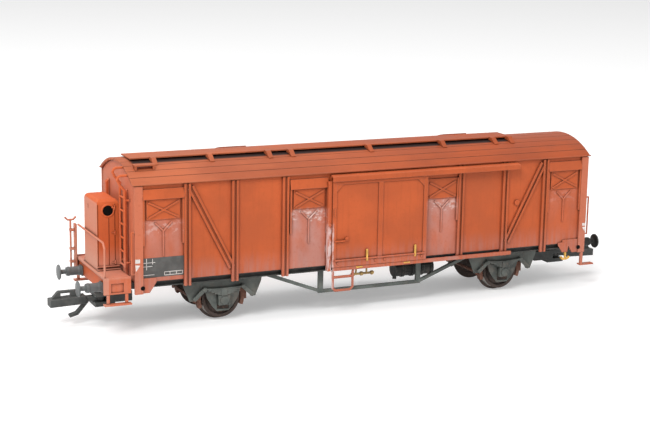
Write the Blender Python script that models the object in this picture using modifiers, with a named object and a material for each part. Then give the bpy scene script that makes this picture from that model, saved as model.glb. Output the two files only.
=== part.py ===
"""A two-axle covered goods wagon with a brakeman's booth, as a 1:120 model railway wagon.

Metres, +Z up, +X towards the plain end, -Y towards the near side. Lengths along X are taken from the
middle of the wheelbase and heights from the top of the rails. The empty called wagon puts that point
where the whole model has its box centred over the floor that the wheel flanges stand on.
"""

import math

import bmesh
import bpy
from mathutils import Matrix, Vector

# Whole wagon
WHEELBASE = 0.0667
BODY_LENGTH = 0.10575
BODY_HALF_WIDTH = 0.01133
EAVE_HEIGHT = 0.0296
ROOF_RISE = 0.0037
PANEL_BOTTOM = 0.00992
SEAT_GAP = 0.00005
OVERRUN = 0.0001

# Wheelsets
WHEEL_RADIUS = 0.00415
WHEEL_WIDTH = 0.0022
WHEEL_BACK_TO_BACK = 0.0102
WHEEL_STEPS = 24
FLANGE_DEPTH = 0.0006
FLANGE_WIDTH = 0.0006
RIM_DEPTH = 0.0008
DISC_RECESS = 0.0005
HUB_RADIUS = 0.0012
AXLE_RADIUS = 0.0007
JOURNAL_RADIUS = 0.00035
JOURNAL_LENGTH = 0.0012
AXLE_HALF_LENGTH = 0.0087

# Side walls
WALL = 0.0008
POST_WIDTH = 0.0014
POST_DEPTH = 0.0005
POST_GROOVE_WIDTH = 0.0005
POST_GROOVE_DEPTH = 0.0003
POST_BOTTOM = 0.0085
POST_STATION_SHARES = (0.39, 0.6, 0.793)
CORNER_POST_WIDTH = 0.0016
CORNER_POST_BOTTOM = 0.0076
GUSSET_LENGTH = 0.0028
GUSSET_HEIGHT = 0.0018
GUSSET_HOLE_RADIUS = 0.0004
HOLE_STEPS = 10
BRACE_TOP_DROP = 0.001
BRACE_BOTTOM_RISE = 0.0016
KNOB_RADIUS = 0.0006
KNOB_HEIGHT = 0.0202
KNOB_STATION_SHARE = 0.658

# Ventilation hatches
HATCH_FLAP_WIDTH = 0.007
HATCH_HOOD_WIDTH = 0.0086
HATCH_HOOD_TOP = 0.0287
HATCH_HOOD_BOTTOM = 0.0267
HATCH_HOOD_DEPTH = 0.0007
HATCH_FLAP_TOP = 0.0264
HATCH_FLAP_BOTTOM = 0.0225
HATCH_RELIEF = 0.00022
HATCH_BAR = 0.00035
PROP_RADIUS = 0.0002
PROP_ARM_SPREAD = 0.0018
PROP_TOP = 0.0219
PROP_JOIN = 0.02015
PROP_FOOT = 0.0150
GUIDE_BAR_BOTTOM = 0.0174

# Sliding doors and their rails
DOOR_WIDTH = 0.02275
DOOR_CENTRE = 0.00063
DOOR_TOP = 0.0279
DOOR_BOTTOM = 0.00983
DOOR_CLEARANCE = 0.00017
DOOR_THICKNESS = 0.0005
DOOR_FRAME_WIDTH = 0.0009
DOOR_FRAME_RELIEF = 0.00022
DOOR_STILE_WIDTH = 0.0011
DOOR_SILL_WIDTH = 0.0006
DOOR_SILL_HEIGHT = 0.0109
DOOR_GUSSET = 0.0015
DOOR_HANDLE_HEIGHT = 0.01535
DOOR_HANDLE_LENGTH = 0.0031
DOOR_HANDLE_RADIUS = 0.0002
DOOR_HANDLE_KNOB = 0.00032
DOOR_LATCH_HEIGHT = 0.0213
DOOR_GRAB_LENGTH = 0.0012
DOOR_GRAB_SHARES = (-0.21, 0.27)
DOORWAY_MARGIN = 0.0008
TOP_RAIL_START = 0.0106
TOP_RAIL_END = 0.03435
TOP_RAIL_TOP = 0.0293
TOP_RAIL_BOTTOM = 0.02795
TOP_RAIL_SHEET = 0.00025
TOP_RAIL_SLOPE = 0.0003
LOWER_RAIL_START = 0.0102
LOWER_RAIL_END = 0.0332
LOWER_RAIL_TOP = 0.0093
LOWER_RAIL_BOTTOM = 0.0086
LOWER_RAIL_DEPTH = 0.0006
RAIL_BRACKET_SHARES = (0.03, 0.24, 0.48, 0.64, 0.92)
RAIL_BRACKET_WIDTH = 0.0007

# End walls
STANCHION_WIDTH = 0.0011
STANCHION_DEPTH = 0.0008
STANCHION_TOP = 0.0283
STANCHION_SIDE = 0.00625

# Roof
ROOF_SHEET = 0.0005
ROOF_OVERHANG = 0.0005
ROOF_BOARD_STEPS = 2
ROOF_BOARDS = 11
ROOF_SEAM_WIDTH = 0.00015
ROOF_SEAM_DEPTH = 0.0001
EAVE_LIP = 0.0002

# Walkway, hatch covers and step board on the roof
WALKWAY_CAB_END = 0.05125
WALKWAY_PLAIN_END = 0.0371
WALKWAY_HALF_WIDTH = 0.003
WALKWAY_THICKNESS = 0.0003
WALKWAY_TOP = 0.0337
WALKWAY_FOOT = 0.00545
WALKWAY_BRACKET_WIDTH = 0.0007
WALKWAY_BRACKET_THICKNESS = 0.0003
WALKWAY_BRACKET_SHARES = (-0.88, -0.69, -0.44, -0.341, 0.008, 0.355, 0.607, 0.701)
COVER_LENGTH = 0.0059
COVER_WIDTH = 0.0030
COVER_MIDDLE = 0.0049
COVER_THICKNESS = 0.0008
COVER_STATION_SHARE = 0.505
STEP_BOARD_LENGTH = 0.0043
STEP_BOARD_WIDTH = 0.0016
STEP_BOARD_SIDE = 0.0066
STEP_BOARD_THICKNESS = 0.0003
STEP_BOARD_STATION_SHARE = 0.936

# Underframe
FLOOR_TOP = 0.0104
FLOOR_THICKNESS = 0.0006
SOLE_INNER = 0.008
SOLE_OUTER = 0.01055
SOLE_BOTTOM = 0.00867
SOLE_FLANGE = 0.0002
SOLE_WEB_DEPTH = 0.0007
SILL_HALF_WIDTH = 0.0011
SILL_BOTTOM = 0.0079
BEARER_WIDTH = 0.0009
BEARER_STATION_SHARES = (-0.75, -0.22, 0.22, 0.75)
HEADSTOCK_BOTTOM = 0.0079
HEADSTOCK_THICKNESS = 0.0011
HEADSTOCK_HALF_WIDTH = 0.0103
PLATFORM_LENGTH = 0.0057
PLAIN_HEADSTOCK_REACH = 0.0006

# Truss below each side
TRUSS_SIDE = 0.00875
TRUSS_THICKNESS = 0.0006
TRUSS_POST_STATION = 0.0116
TRUSS_POST_WIDTH = 0.0011
TRUSS_BAR_BOTTOM = 0.0036
TRUSS_BAR_HEIGHT = 0.0007
TRUSS_FOOT_STATION = 0.0227

# Axle guards, springs and axle boxes
GUARD_SIDE = 0.0081
GUARD_THICKNESS = 0.0004
GUARD_TOP_HALF = 0.0087
GUARD_SHOULDER_HEIGHT = 0.0074
GUARD_WAIST_HALF = 0.0058
GUARD_WAIST_HEIGHT = 0.0047
GUARD_LEG_OUTER = 0.0026
GUARD_LEG_INNER = 0.0017
GUARD_FOOT_HEIGHT = 0.0020
GUARD_NOTCH_TOP = 0.0063
SPRING_HALF_LENGTH = 0.0042
SPRING_EYE_HEIGHT = 0.0067
SPRING_EYE_RADIUS = 0.00045
SPRING_SAG = 0.0010
SPRING_TIP_THICKNESS = 0.0005
SPRING_MIDDLE_THICKNESS = 0.0012
SPRING_WIDTH = 0.0009
SPRING_STEPS = 6
BUCKLE_HALF_WIDTH = 0.0006
SHACKLE_REACH = 0.0023
SHACKLE_DROP = 0.0021
SHACKLE_WIDTH = 0.0008
AXLE_BOX_HALF_WIDTH = 0.0012
AXLE_BOX_HEIGHT = 0.0020
AXLE_BOX_FRONT = 0.0095
AXLE_BOX_COVER_RADIUS = 0.00085
AXLE_BOX_COVER_DEPTH = 0.0003
BORE_CLEARANCE = 0.00015
BORE_END_CLEARANCE = 0.0001
TIE_BAR_HEIGHT = 0.0004

# Brakes
SHOE_CLEARANCE = 0.00025
SHOE_THICKNESS = 0.0008
SHOE_HALF_ANGLE_SHARE = 0.12
SHOE_INNER_SIDE = 0.0060
SHOE_WIDTH = 0.0013
SHOE_STEPS = 5
HANGER_WIDTH = 0.0006
BRAKE_BEAM_RADIUS = 0.00035
BRAKE_BEAM_HEIGHT = 0.0040

# Buffers
BUFFER_SIDE = 0.0073
BUFFER_HEIGHT = 0.00885
BUFFER_LENGTH = 0.0053
BUFFER_HEAD_RADIUS = 0.0016
BUFFER_HEAD_THICKNESS = 0.0004
BUFFER_CROWN = 0.00015
BUFFER_PLUNGER_RADIUS = 0.00062
BUFFER_SLEEVE_RADIUS = 0.00085
BUFFER_SLEEVE_LENGTH = 0.0024
BUFFER_BASE = 0.0010
BUFFER_BASE_THICKNESS = 0.0003
BUFFER_STEPS = 16

# Couplers
COUPLER_PIVOT_INSET = 0.0015
COUPLER_BOX_HALF_WIDTH = 0.0022
COUPLER_BOX_LENGTH = 0.0078
COUPLER_BOX_TOP = 0.0061
COUPLER_BOX_BOTTOM = 0.0033
COUPLER_BOX_STEP_LENGTH = 0.0036
COUPLER_BOX_STEP_RISE = 0.0007
COUPLER_SHAFT_BOTTOM = 0.0043
COUPLER_SHAFT_TOP = 0.0052
COUPLER_PLAY = 0.00015
COUPLER_EYE_RADIUS = 0.0012
COUPLER_PIN_RADIUS = 0.0005
COUPLER_STEPS = 16
COUPLER_SHAFT_HALF_WIDTH = 0.0009
COUPLER_REACH = 0.0105
COUPLER_HEAD_LENGTH = 0.0066
COUPLER_HEAD_HALF_WIDTH = 0.0021
COUPLER_CHEEK = 0.0005
COUPLER_TIP_LENGTH = 0.0010
COUPLER_TIP_HEIGHT = 0.0009
COUPLER_PLATE_THICKNESS = 0.0004
COUPLER_PLATE_TOP = 0.0062
COUPLER_SLOT_LENGTH = 0.0020
COUPLER_HEAD_BOTTOM = 0.0037
COUPLER_TAIL_WIDTH = 0.0006
COUPLER_TAIL_BOTTOM = 0.0018
COUPLER_TAIL_LENGTH = 0.0024

# Platform at the cab end
DECK_TOP = 0.0112
DECK_THICKNESS = 0.0004
SIDE_PLATE_SIDE = 0.0110
SIDE_PLATE_THICKNESS = 0.0004
SIDE_PLATE_BOTTOM = 0.0080
SIDE_PLATE_LENGTH = 0.0056
SIDE_PLATE_LIP = 0.0002
POCKET_LENGTH = 0.0026
POCKET_HEIGHT = 0.0019
POCKET_BOTTOM = 0.0083
POCKET_DEPTH = 0.0003

# Booth
BOOTH_LENGTH = 0.0046
BOOTH_START = 0.0009
BOOTH_NEAR = 0.0034
BOOTH_FAR = 0.0056
BOOTH_TOP = 0.0257
BOOTH_WALL = 0.0004
BOOTH_ROUND = 0.0010
BOOTH_ROUND_SEGMENTS = 3
WINDOW_RADIUS = 0.0009
WINDOW_HEIGHT = 0.0234
WINDOW_STEPS = 20
BOOTH_SLOT_OFFSET = 0.0017
BOOTH_SLOT_WIDTH = 0.0004
BOOTH_SLOT_HEIGHT = 0.0009

# Railing, brake stand, ladder and handrails
ROD_RADIUS = 0.00022
RAILING_SIDE = 0.0098
RAILING_BEND_HEIGHT = 0.0172
RAILING_HEIGHT = 0.0182
STAND_SIDE = 0.0098
STAND_WIDTH = 0.0013
STAND_THICKNESS = 0.0004
STAND_TOP = 0.0183
STAND_BOTTOM = 0.0092
STAND_ROD_OFFSET = 0.0008
CRANK_HEIGHT = 0.0192
CRANK_ARM = 0.0012
STAND_RING_SHARES = (0.12, 0.42, 0.86)
LADDER_SIDE = 0.0065
LADDER_HALF_WIDTH = 0.0013
LADDER_REACH = 0.00115
LADDER_FOOT = 0.0126
LADDER_RUNG_PITCH = 0.00275
LADDER_RISE = 0.0010
LADDER_HOOK = 0.0023
HANDRAIL_BOTTOM = 0.0118
HANDRAIL_TOP = 0.0202
HANDRAIL_REACH = 0.0007

# Steps and hooks
DOOR_STEP_START = 0.0100
DOOR_STEP_WIDTH = 0.0046
DOOR_STEP_BOTTOM = 0.0045
DOOR_STEP_RUNG = 0.0074
DOOR_STEP_RADIUS = 0.0003
DOOR_STEP_CORNER = 0.0006
PLATFORM_STEP_BOTTOM = 0.0058
STEP_TREAD_THICKNESS = 0.0003
STEP_TREAD_WIDTH = 0.0013
STEP_LEG_WIDTH = 0.0006
STEP_LEG_THICKNESS = 0.0003
SHUNTER_STEP_REACH = 0.0028
SHUNTER_STEP_BOTTOM = 0.0045
HOOK_STATION_SHARE = 0.906
HOOK_DROP = 0.0012
HOOK_WIDTH = 0.0009
HOOK_TAB_WIDTH = 0.0014
HOOK_TAB_BOTTOM = 0.0079
HOOK_RADIUS = 0.0002

# Air cylinder and changeover gear
CYLINDER_RADIUS = 0.0017
CYLINDER_LENGTH = 0.0092
CYLINDER_STATION = 0.0122
CYLINDER_SIDE = 0.0050
CYLINDER_HEIGHT = 0.0061
CYLINDER_RIBS = 4
CYLINDER_RIB_HEIGHT = 0.0002
CYLINDER_STEPS = 16
VALVE_DROP = 0.0022
GEAR_SIDE = 0.0100
GEAR_ROD_HEIGHT = 0.0072
GEAR_ROD_RADIUS = 0.00025
GEAR_KNOB_RADIUS = 0.00045
GEAR_LENGTH = 0.0045
GEAR_KNOB_SHARES = (-1, -0.55, 0)
GEAR_BRACKET_SHARES = (-0.836, -0.283)
GEAR_BRACKET_WIDTH = 0.0003

# Sizes that follow from the ones above
HALF_BODY = BODY_LENGTH / 2
PANEL_OUTER = BODY_HALF_WIDTH - POST_DEPTH
PANEL_INNER = PANEL_OUTER - WALL
ROOF_RADIUS = (BODY_HALF_WIDTH**2 + ROOF_RISE**2) / (2 * ROOF_RISE)
ROOF_CENTRE_HEIGHT = EAVE_HEIGHT + ROOF_RISE - ROOF_RADIUS
CAB_HEADSTOCK = HALF_BODY + PLATFORM_LENGTH
PLAIN_HEADSTOCK = HALF_BODY + PLAIN_HEADSTOCK_REACH
DOOR_INNER = BODY_HALF_WIDTH + DOOR_CLEARANCE
DOOR_OUTER = DOOR_INNER + DOOR_THICKNESS
WALL_TOP = EAVE_HEIGHT - SEAT_GAP
END_SHIFT = (CAB_HEADSTOCK - PLAIN_HEADSTOCK) / 2

PARTS = None
CUTTERS = None
WAGON = None

TURN = {
    "X": Matrix(((0, 0, 1), (1, 0, 0), (0, 1, 0))).to_4x4(),
    "Y": Matrix(((1, 0, 0), (0, 0, -1), (0, 1, 0))).to_4x4(),
    "Z": Matrix.Identity(4),
}
ALONG = {"X": Vector((1, 0, 0)), "Y": Vector((0, 1, 0)), "Z": Vector((0, 0, 1))}


def clear_scene():
    for obj in list(bpy.data.objects):
        bpy.data.objects.remove(obj)


def make_collections():
    """The wagon's collection, a hidden one for what is only cut or joined, and the empty that carries all."""
    global PARTS, CUTTERS, WAGON
    PARTS = bpy.data.collections.new("covered_wagon")
    CUTTERS = bpy.data.collections.new("cutters")
    for collection in (PARTS, CUTTERS):
        bpy.context.scene.collection.children.link(collection)
    CUTTERS.hide_render = True
    WAGON = bpy.data.objects.new("wagon", None)
    WAGON.location = (END_SHIFT, 0, FLANGE_DEPTH)
    PARTS.objects.link(WAGON)


def paint(name, color, roughness, metallic=0.0):
    """A material with one colour, roughness and metallic value."""
    material = bpy.data.materials.new(name)
    material.use_nodes = True
    shader = material.node_tree.nodes["Principled BSDF"]
    shader.inputs["Base Color"].default_value = (*color, 1)
    shader.inputs["Roughness"].default_value = roughness
    shader.inputs["Metallic"].default_value = metallic
    material.diffuse_color = (*color, 1)
    return material


def piece(mesh):
    """A helper object in the cutters' collection, still to be cut or joined."""
    obj = bpy.data.objects.new("piece", mesh)
    CUTTERS.objects.link(obj)
    obj.parent = WAGON
    obj.hide_render = True
    obj.display_type = "WIRE"
    return obj


def evaluated_mesh(obj, triangles=False):
    """The object's mesh with its modifiers applied and doubled points welded, as triangles where asked."""
    bpy.context.view_layer.update()
    graph = bpy.context.evaluated_depsgraph_get()
    mesh = bpy.data.meshes.new_from_object(obj.evaluated_get(graph))
    cage = bmesh.new()
    cage.from_mesh(mesh)
    bmesh.ops.remove_doubles(cage, verts=cage.verts, dist=OVERRUN / 100)
    if triangles:
        bmesh.ops.triangulate(cage, faces=cage.faces)
    bmesh.ops.recalc_face_normals(cage, faces=cage.faces)
    cage.to_mesh(mesh)
    cage.free()
    return mesh


def realised(guide, triangles=False):
    """Turns a guide curve or profile into a plain mesh piece and removes the guide."""
    mesh = evaluated_mesh(guide, triangles)
    bpy.data.objects.remove(guide)
    return piece(mesh)


def guide_object(data):
    guide = bpy.data.objects.new("guide", data)
    CUTTERS.objects.link(guide)
    return guide


def block(low, high):
    """A box between two opposite corners."""
    low, high = Vector(low), Vector(high)
    cage = bmesh.new()
    bmesh.ops.create_cube(cage, size=1)
    place = Matrix.Translation((low + high) / 2) @ Matrix.Diagonal((*(high - low), 1))
    bmesh.ops.transform(cage, matrix=place, verts=cage.verts)
    mesh = bpy.data.meshes.new("block")
    cage.to_mesh(mesh)
    cage.free()
    return piece(mesh)


def prism(outlines, start, end, axis):
    """Flat outlines swept along an axis. Further outlines inside the first are holes."""
    curve = bpy.data.curves.new("outline", "CURVE")
    curve.dimensions = "2D"
    curve.fill_mode = "BOTH"
    curve.extrude = (end - start) / 2
    for outline in outlines:
        spline = curve.splines.new("POLY")
        spline.points.add(len(outline) - 1)
        for point, place in zip(spline.points, outline):
            point.co = (*place, 0, 1)
        spline.use_cyclic_u = True
    swept = realised(guide_object(curve))
    swept.data.transform(Matrix.Translation(ALONG[axis] * (start + end) / 2) @ TURN[axis])
    return swept


def rod(points, radius, sides_more=1):
    """A bent round wire through the points, with closed ends."""
    curve = bpy.data.curves.new("wire", "CURVE")
    curve.dimensions = "3D"
    curve.bevel_depth = radius
    curve.bevel_resolution = sides_more
    curve.use_fill_caps = True
    spline = curve.splines.new("POLY")
    spline.points.add(len(points) - 1)
    for point, place in zip(spline.points, points):
        point.co = (*place, 1)
    return realised(guide_object(curve), triangles=True)


def turned(profile, axis, steps, centre=(0, 0, 0)):
    """A turned shape from (radius, height) pairs, listed from the top of its outer side to the bottom."""
    mesh = bpy.data.meshes.new("profile")
    edges = [(i, i + 1) for i in range(len(profile) - 1)]
    mesh.from_pydata([(radius, 0, height) for radius, height in profile], edges, [])
    guide = guide_object(mesh)
    screw = guide.modifiers.new("turn", "SCREW")
    screw.steps = steps
    screw.render_steps = steps
    screw.use_merge_vertices = True
    screw.merge_threshold = OVERRUN / 100
    made = realised(guide)
    made.data.transform(Matrix.Translation(centre) @ TURN[axis])
    return made


def disc(radius, start, end, axis, steps, centre=(0, 0, 0)):
    """A plain cylinder along an axis, from start to end."""
    profile = [(0, end), (radius, end), (radius, start), (0, start)]
    if axis == "Y":
        profile = [(r, -h) for r, h in reversed(profile)]
    return turned(profile, axis, steps, centre)


def strip(start, end, width, side, thickness):
    """A flat bar in the X-Z plane between two (x, z) points, from side to side plus thickness in Y."""
    start, end = Vector(start), Vector(end)
    run = end - start
    across = Vector((-run.y, run.x)).normalized() * width / 2
    outline = [start - across, end - across, end + across, start + across]
    return prism([outline], side, side + thickness, "Y")


def fuse(name, material, pieces, cuts=(), fixings=()):
    """One named solid: the pieces joined, then the cuts taken out, and then the fixings joined on."""
    body, *others = pieces
    CUTTERS.objects.unlink(body)
    PARTS.objects.link(body)
    body.name = name
    body.data.name = name
    body.hide_render = False
    body.display_type = "TEXTURED"
    if material:
        body.data.materials.append(material)
    steps = (("join", "UNION", others), ("cut", "DIFFERENCE", cuts), ("fix", "UNION", fixings))
    for label, operation, operands in steps:
        if not operands:
            continue
        group = bpy.data.collections.new(f"{name}_{label}")
        CUTTERS.children.link(group)
        for operand in operands:
            CUTTERS.objects.unlink(operand)
            group.objects.link(operand)
        modifier = body.modifiers.new(label, "BOOLEAN")
        modifier.operation = operation
        modifier.operand_type = "COLLECTION"
        modifier.collection = group
        modifier.solver = "EXACT"
    return body


def moulded(pieces, cuts=(), fixings=()):
    """The mesh of a fused piece that is stamped out more than once. Its helpers are removed."""
    source = fuse("moulded", None, pieces, cuts, fixings)
    mesh = evaluated_mesh(source)
    for helper in (*pieces, *cuts, *fixings):
        bpy.data.objects.remove(helper)
    return mesh


def stamp(name, mesh, material, x=0, z=0, mirror=(1, 1), turn=0):
    """One named copy of a moulded mesh: mirrored across X or Y, turned about Z and set down at X and Z."""
    shape = mesh.copy()
    shape.name = name
    shape.transform(Matrix.Diagonal((*mirror, 1, 1)))
    if mirror[0] * mirror[1] < 0:
        shape.flip_normals()
    shape.materials.clear()
    shape.materials.append(material)
    obj = bpy.data.objects.new(name, shape)
    PARTS.objects.link(obj)
    obj.parent = WAGON
    obj.location = (x, 0, z)
    obj.rotation_euler.z = turn
    return obj


def both_sides(name, mesh, material):
    """The near piece and its far partner, which is turned half round the wagon's upright axis."""
    stamp(f"{name}_near", mesh, material)
    stamp(f"{name}_far", mesh, material, turn=math.pi)


def at_each_wheel(name, mesh, material):
    """Four copies of a near piece that was built about an axle at X zero."""
    for end, side in (("cab", -1), ("plain", 1)):
        stamp(f"{name}_{end}_near", mesh, material, side * WHEELBASE / 2)
        stamp(f"{name}_{end}_far", mesh, material, side * WHEELBASE / 2, mirror=(1, -1))


def roof_arc(inset, start, end, steps):
    """Points of the roof's arch, inset from its outer skin, between two distances from the wagon's middle."""
    radius = ROOF_RADIUS - inset
    first, last = math.asin(start / radius), math.asin(end / radius)
    angles = [first + (last - first) * i / steps for i in range(steps + 1)]
    return [(radius * math.sin(a), ROOF_CENTRE_HEIGHT + radius * math.cos(a)) for a in angles]


def make_roof(material):
    """Arched shell, with a shallow seam between its lengthwise boards and a lip along each eave."""
    reach = math.asin(BODY_HALF_WIDTH / ROOF_RADIUS)
    outer = []
    for board in range(ROOF_BOARDS):
        first = reach - 2 * reach * board / ROOF_BOARDS
        last = reach - 2 * reach * (board + 1) / ROOF_BOARDS
        seam = ROOF_SEAM_WIDTH / ROOF_RADIUS
        for step in range(ROOF_BOARD_STEPS + 1):
            angle = first + (last + seam - first) * step / ROOF_BOARD_STEPS
            outer.append((angle, ROOF_RADIUS))
        if board < ROOF_BOARDS - 1:
            outer.append((last + seam, ROOF_RADIUS - ROOF_SEAM_DEPTH))
            outer.append((last, ROOF_RADIUS - ROOF_SEAM_DEPTH))
    outer = [(r * math.sin(a), ROOF_CENTRE_HEIGHT + r * math.cos(a)) for a, r in outer]
    seat = math.sqrt((ROOF_RADIUS - ROOF_SHEET) ** 2 - (EAVE_HEIGHT - ROOF_CENTRE_HEIGHT) ** 2)
    inner = roof_arc(ROOF_SHEET, seat, -seat, ROOF_BOARDS)
    half = HALF_BODY + ROOF_OVERHANG
    shell = prism([outer + inner[::-1]], -half, half, "X")
    lips = []
    for side in (-1, 1):
        outer_edge = side * (BODY_HALF_WIDTH + EAVE_LIP)
        inner_edge = side * (BODY_HALF_WIDTH - ROOF_SHEET)
        low = (-half, min(outer_edge, inner_edge), EAVE_HEIGHT)
        high = (half, max(outer_edge, inner_edge), EAVE_HEIGHT + EAVE_LIP)
        lips.append(block(low, high))
    return fuse("roof", material, [shell, *lips])


def post_outline(width, centre, inset=0):
    """Plan of a channel post with its groove, in (x, y), standing out from the near side's panel."""
    half, groove = width / 2, POST_GROOVE_WIDTH / 2
    root = -(PANEL_OUTER - OVERRUN) + inset
    face = -BODY_HALF_WIDTH + inset
    floor = face + POST_GROOVE_DEPTH
    shape = [(-half, root), (-half, face), (-groove, face), (-groove, floor)]
    shape += [(groove, floor), (groove, face), (half, face), (half, root)]
    return [(x + centre, y) for x, y in shape]


def make_brace(side):
    """Channel brace from the top of the third post down to the foot of the second."""
    top = Vector((HALF_BODY * POST_STATION_SHARES[2] - POST_WIDTH / 2, EAVE_HEIGHT - BRACE_TOP_DROP))
    foot = Vector((HALF_BODY * POST_STATION_SHARES[1] + POST_WIDTH / 2, PANEL_BOTTOM + BRACE_BOTTOM_RISE))
    run = top - foot
    brace = prism([post_outline(POST_WIDTH, 0, SEAT_GAP)], 0, run.length, "Z")
    lean = math.atan2(run.x, run.y)
    move = Matrix.Translation((side * foot.x, 0, foot.y)) @ Matrix.Rotation(side * lean, 4, "Y")
    brace.data.transform(move)
    return brace


def make_vent(centre, hooded):
    """Ventilation hatch: sloping hood, braced flap, Y-shaped prop and two guide bars."""
    face = -PANEL_OUTER
    root = -(PANEL_OUTER - OVERRUN)
    deep = root + OVERRUN
    hood = [(deep, HATCH_HOOD_TOP), (face - HATCH_RELIEF, HATCH_HOOD_TOP)]
    hood += [(face - HATCH_HOOD_DEPTH, HATCH_HOOD_BOTTOM), (deep, HATCH_HOOD_BOTTOM)]
    half_hood = HATCH_HOOD_WIDTH / 2 if hooded else HATCH_FLAP_WIDTH / 2 + HATCH_BAR + SEAT_GAP
    made = [prism([hood], centre - half_hood, centre + half_hood, "X")] if hooded else []
    half = HATCH_FLAP_WIDTH / 2
    low = (centre - half, face - HATCH_RELIEF, HATCH_FLAP_BOTTOM)
    high = (centre + half, root, HATCH_HOOD_BOTTOM + OVERRUN)
    made.append(block(low, high))
    inset = half - HATCH_BAR
    corners = (HATCH_FLAP_BOTTOM + HATCH_BAR, HATCH_FLAP_TOP - HATCH_BAR)
    for rise in (1, -1):
        start = (centre - inset * rise, corners[0])
        end = (centre + inset * rise, corners[1])
        outer = face - 2 * HATCH_RELIEF
        made.append(strip(start, end, HATCH_BAR, outer, HATCH_RELIEF * 3 / 2))
    depth = PANEL_OUTER + PROP_RADIUS / 2
    join = (centre, -depth, PROP_JOIN)
    for side in (-1, 1):
        made.append(rod([(centre + side * PROP_ARM_SPREAD, -depth, PROP_TOP), join], PROP_RADIUS))
        bar = centre + side * (half_hood - HATCH_BAR / 2)
        low = (bar - HATCH_BAR / 2, face - 2 * HATCH_RELIEF, GUIDE_BAR_BOTTOM)
        made.append(block(low, (bar + HATCH_BAR / 2, root, HATCH_HOOD_BOTTOM + OVERRUN)))
    made.append(rod([(centre, -depth, PROP_JOIN + PROP_RADIUS), (centre, -depth, PROP_FOOT)], PROP_RADIUS))
    return made


def handrail(end):
    """Grab rail on the end face of a near corner post, at the end whose sign is given."""
    start = end * (HALF_BODY - 2 * OVERRUN)
    x = end * (HALF_BODY + HANDRAIL_REACH)
    side = -(PANEL_OUTER + BODY_HALF_WIDTH) / 2
    path = [(start, side, HANDRAIL_BOTTOM), (x, side, HANDRAIL_BOTTOM)]
    path += [(x, side, HANDRAIL_TOP), (start, side, HANDRAIL_TOP)]
    return rod(path, ROD_RADIUS)


def side_wall_mesh():
    """Near side wall: panel with its doorway, posts, braces, hatches and gusseted corner posts."""
    panel = block((-HALF_BODY, -PANEL_OUTER, PANEL_BOTTOM), (HALF_BODY, -PANEL_INNER, WALL_TOP))
    pieces = [panel]
    for side in (-1, 1):
        for share in POST_STATION_SHARES:
            outline = post_outline(POST_WIDTH, side * share * HALF_BODY)
            pieces.append(prism([outline], POST_BOTTOM, WALL_TOP - OVERRUN, "Z"))
        pieces.append(make_brace(side))
        pieces.append(handrail(side))
        end = side * HALF_BODY
        inner = side * (HALF_BODY - CORNER_POST_WIDTH)
        outer = side * (HALF_BODY + SEAT_GAP * 2)
        low = (min(inner, outer), -BODY_HALF_WIDTH, CORNER_POST_BOTTOM)
        high = (max(inner, outer), -(PANEL_OUTER - OVERRUN), WALL_TOP - OVERRUN)
        pieces.append(block(low, high))
        gusset_end = inner - side * GUSSET_LENGTH
        gusset = [(inner + side * OVERRUN, CORNER_POST_BOTTOM + OVERRUN)]
        gusset.append((inner + side * OVERRUN, PANEL_BOTTOM + WALL))
        gusset += [(gusset_end, PANEL_BOTTOM + WALL), (gusset_end, PANEL_BOTTOM - OVERRUN)]
        gusset.append((inner - side * GUSSET_LENGTH / 2, CORNER_POST_BOTTOM + OVERRUN))
        pieces.append(prism([gusset], HATCH_RELIEF - BODY_HALF_WIDTH, 2 * OVERRUN - PANEL_OUTER, "Y"))
    first_post = HALF_BODY * POST_STATION_SHARES[0] - POST_WIDTH / 2
    cab_bay = (DOOR_CENTRE - DOOR_WIDTH / 2 - first_post) / 2
    plain_bay = (DOOR_CENTRE + DOOR_WIDTH / 2 + first_post) / 2
    end_bay = (HALF_BODY * (1 + POST_STATION_SHARES[2]) - CORNER_POST_WIDTH + POST_WIDTH / 2) / 2
    for centre, hooded in ((-end_bay, True), (cab_bay, True), (plain_bay, False), (end_bay, True)):
        pieces += make_vent(centre, hooded)
    tab = HALF_BODY * HOOK_STATION_SHARE
    low = (tab - HOOK_TAB_WIDTH / 2, HATCH_RELIEF - BODY_HALF_WIDTH, HOOK_TAB_BOTTOM)
    pieces.append(block(low, (tab + HOOK_TAB_WIDTH / 2, OVERRUN - PANEL_OUTER, PANEL_BOTTOM + WALL)))
    knob = (HALF_BODY * KNOB_STATION_SHARE, 0, KNOB_HEIGHT)
    pieces.append(disc(KNOB_RADIUS, -BODY_HALF_WIDTH, OVERRUN - PANEL_OUTER, "Y", HOLE_STEPS, knob))
    half_way = DOOR_WIDTH / 2 - DOORWAY_MARGIN
    low = (DOOR_CENTRE - half_way, -(BODY_HALF_WIDTH + OVERRUN), PANEL_BOTTOM - OVERRUN)
    high = (DOOR_CENTRE + half_way, -(PANEL_INNER - OVERRUN), DOOR_TOP - DOORWAY_MARGIN)
    cuts = [block(low, high)]
    for side in (-1, 1):
        hole = side * (HALF_BODY - CORNER_POST_WIDTH + GUSSET_HOLE_RADIUS / 3)
        place = (hole, 0, CORNER_POST_BOTTOM + GUSSET_HEIGHT * 2 / 3)
        outer = -(BODY_HALF_WIDTH + OVERRUN)
        cuts.append(disc(GUSSET_HOLE_RADIUS, outer, -PANEL_INNER, "Y", HOLE_STEPS, place))
    return moulded(pieces, cuts)


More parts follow.
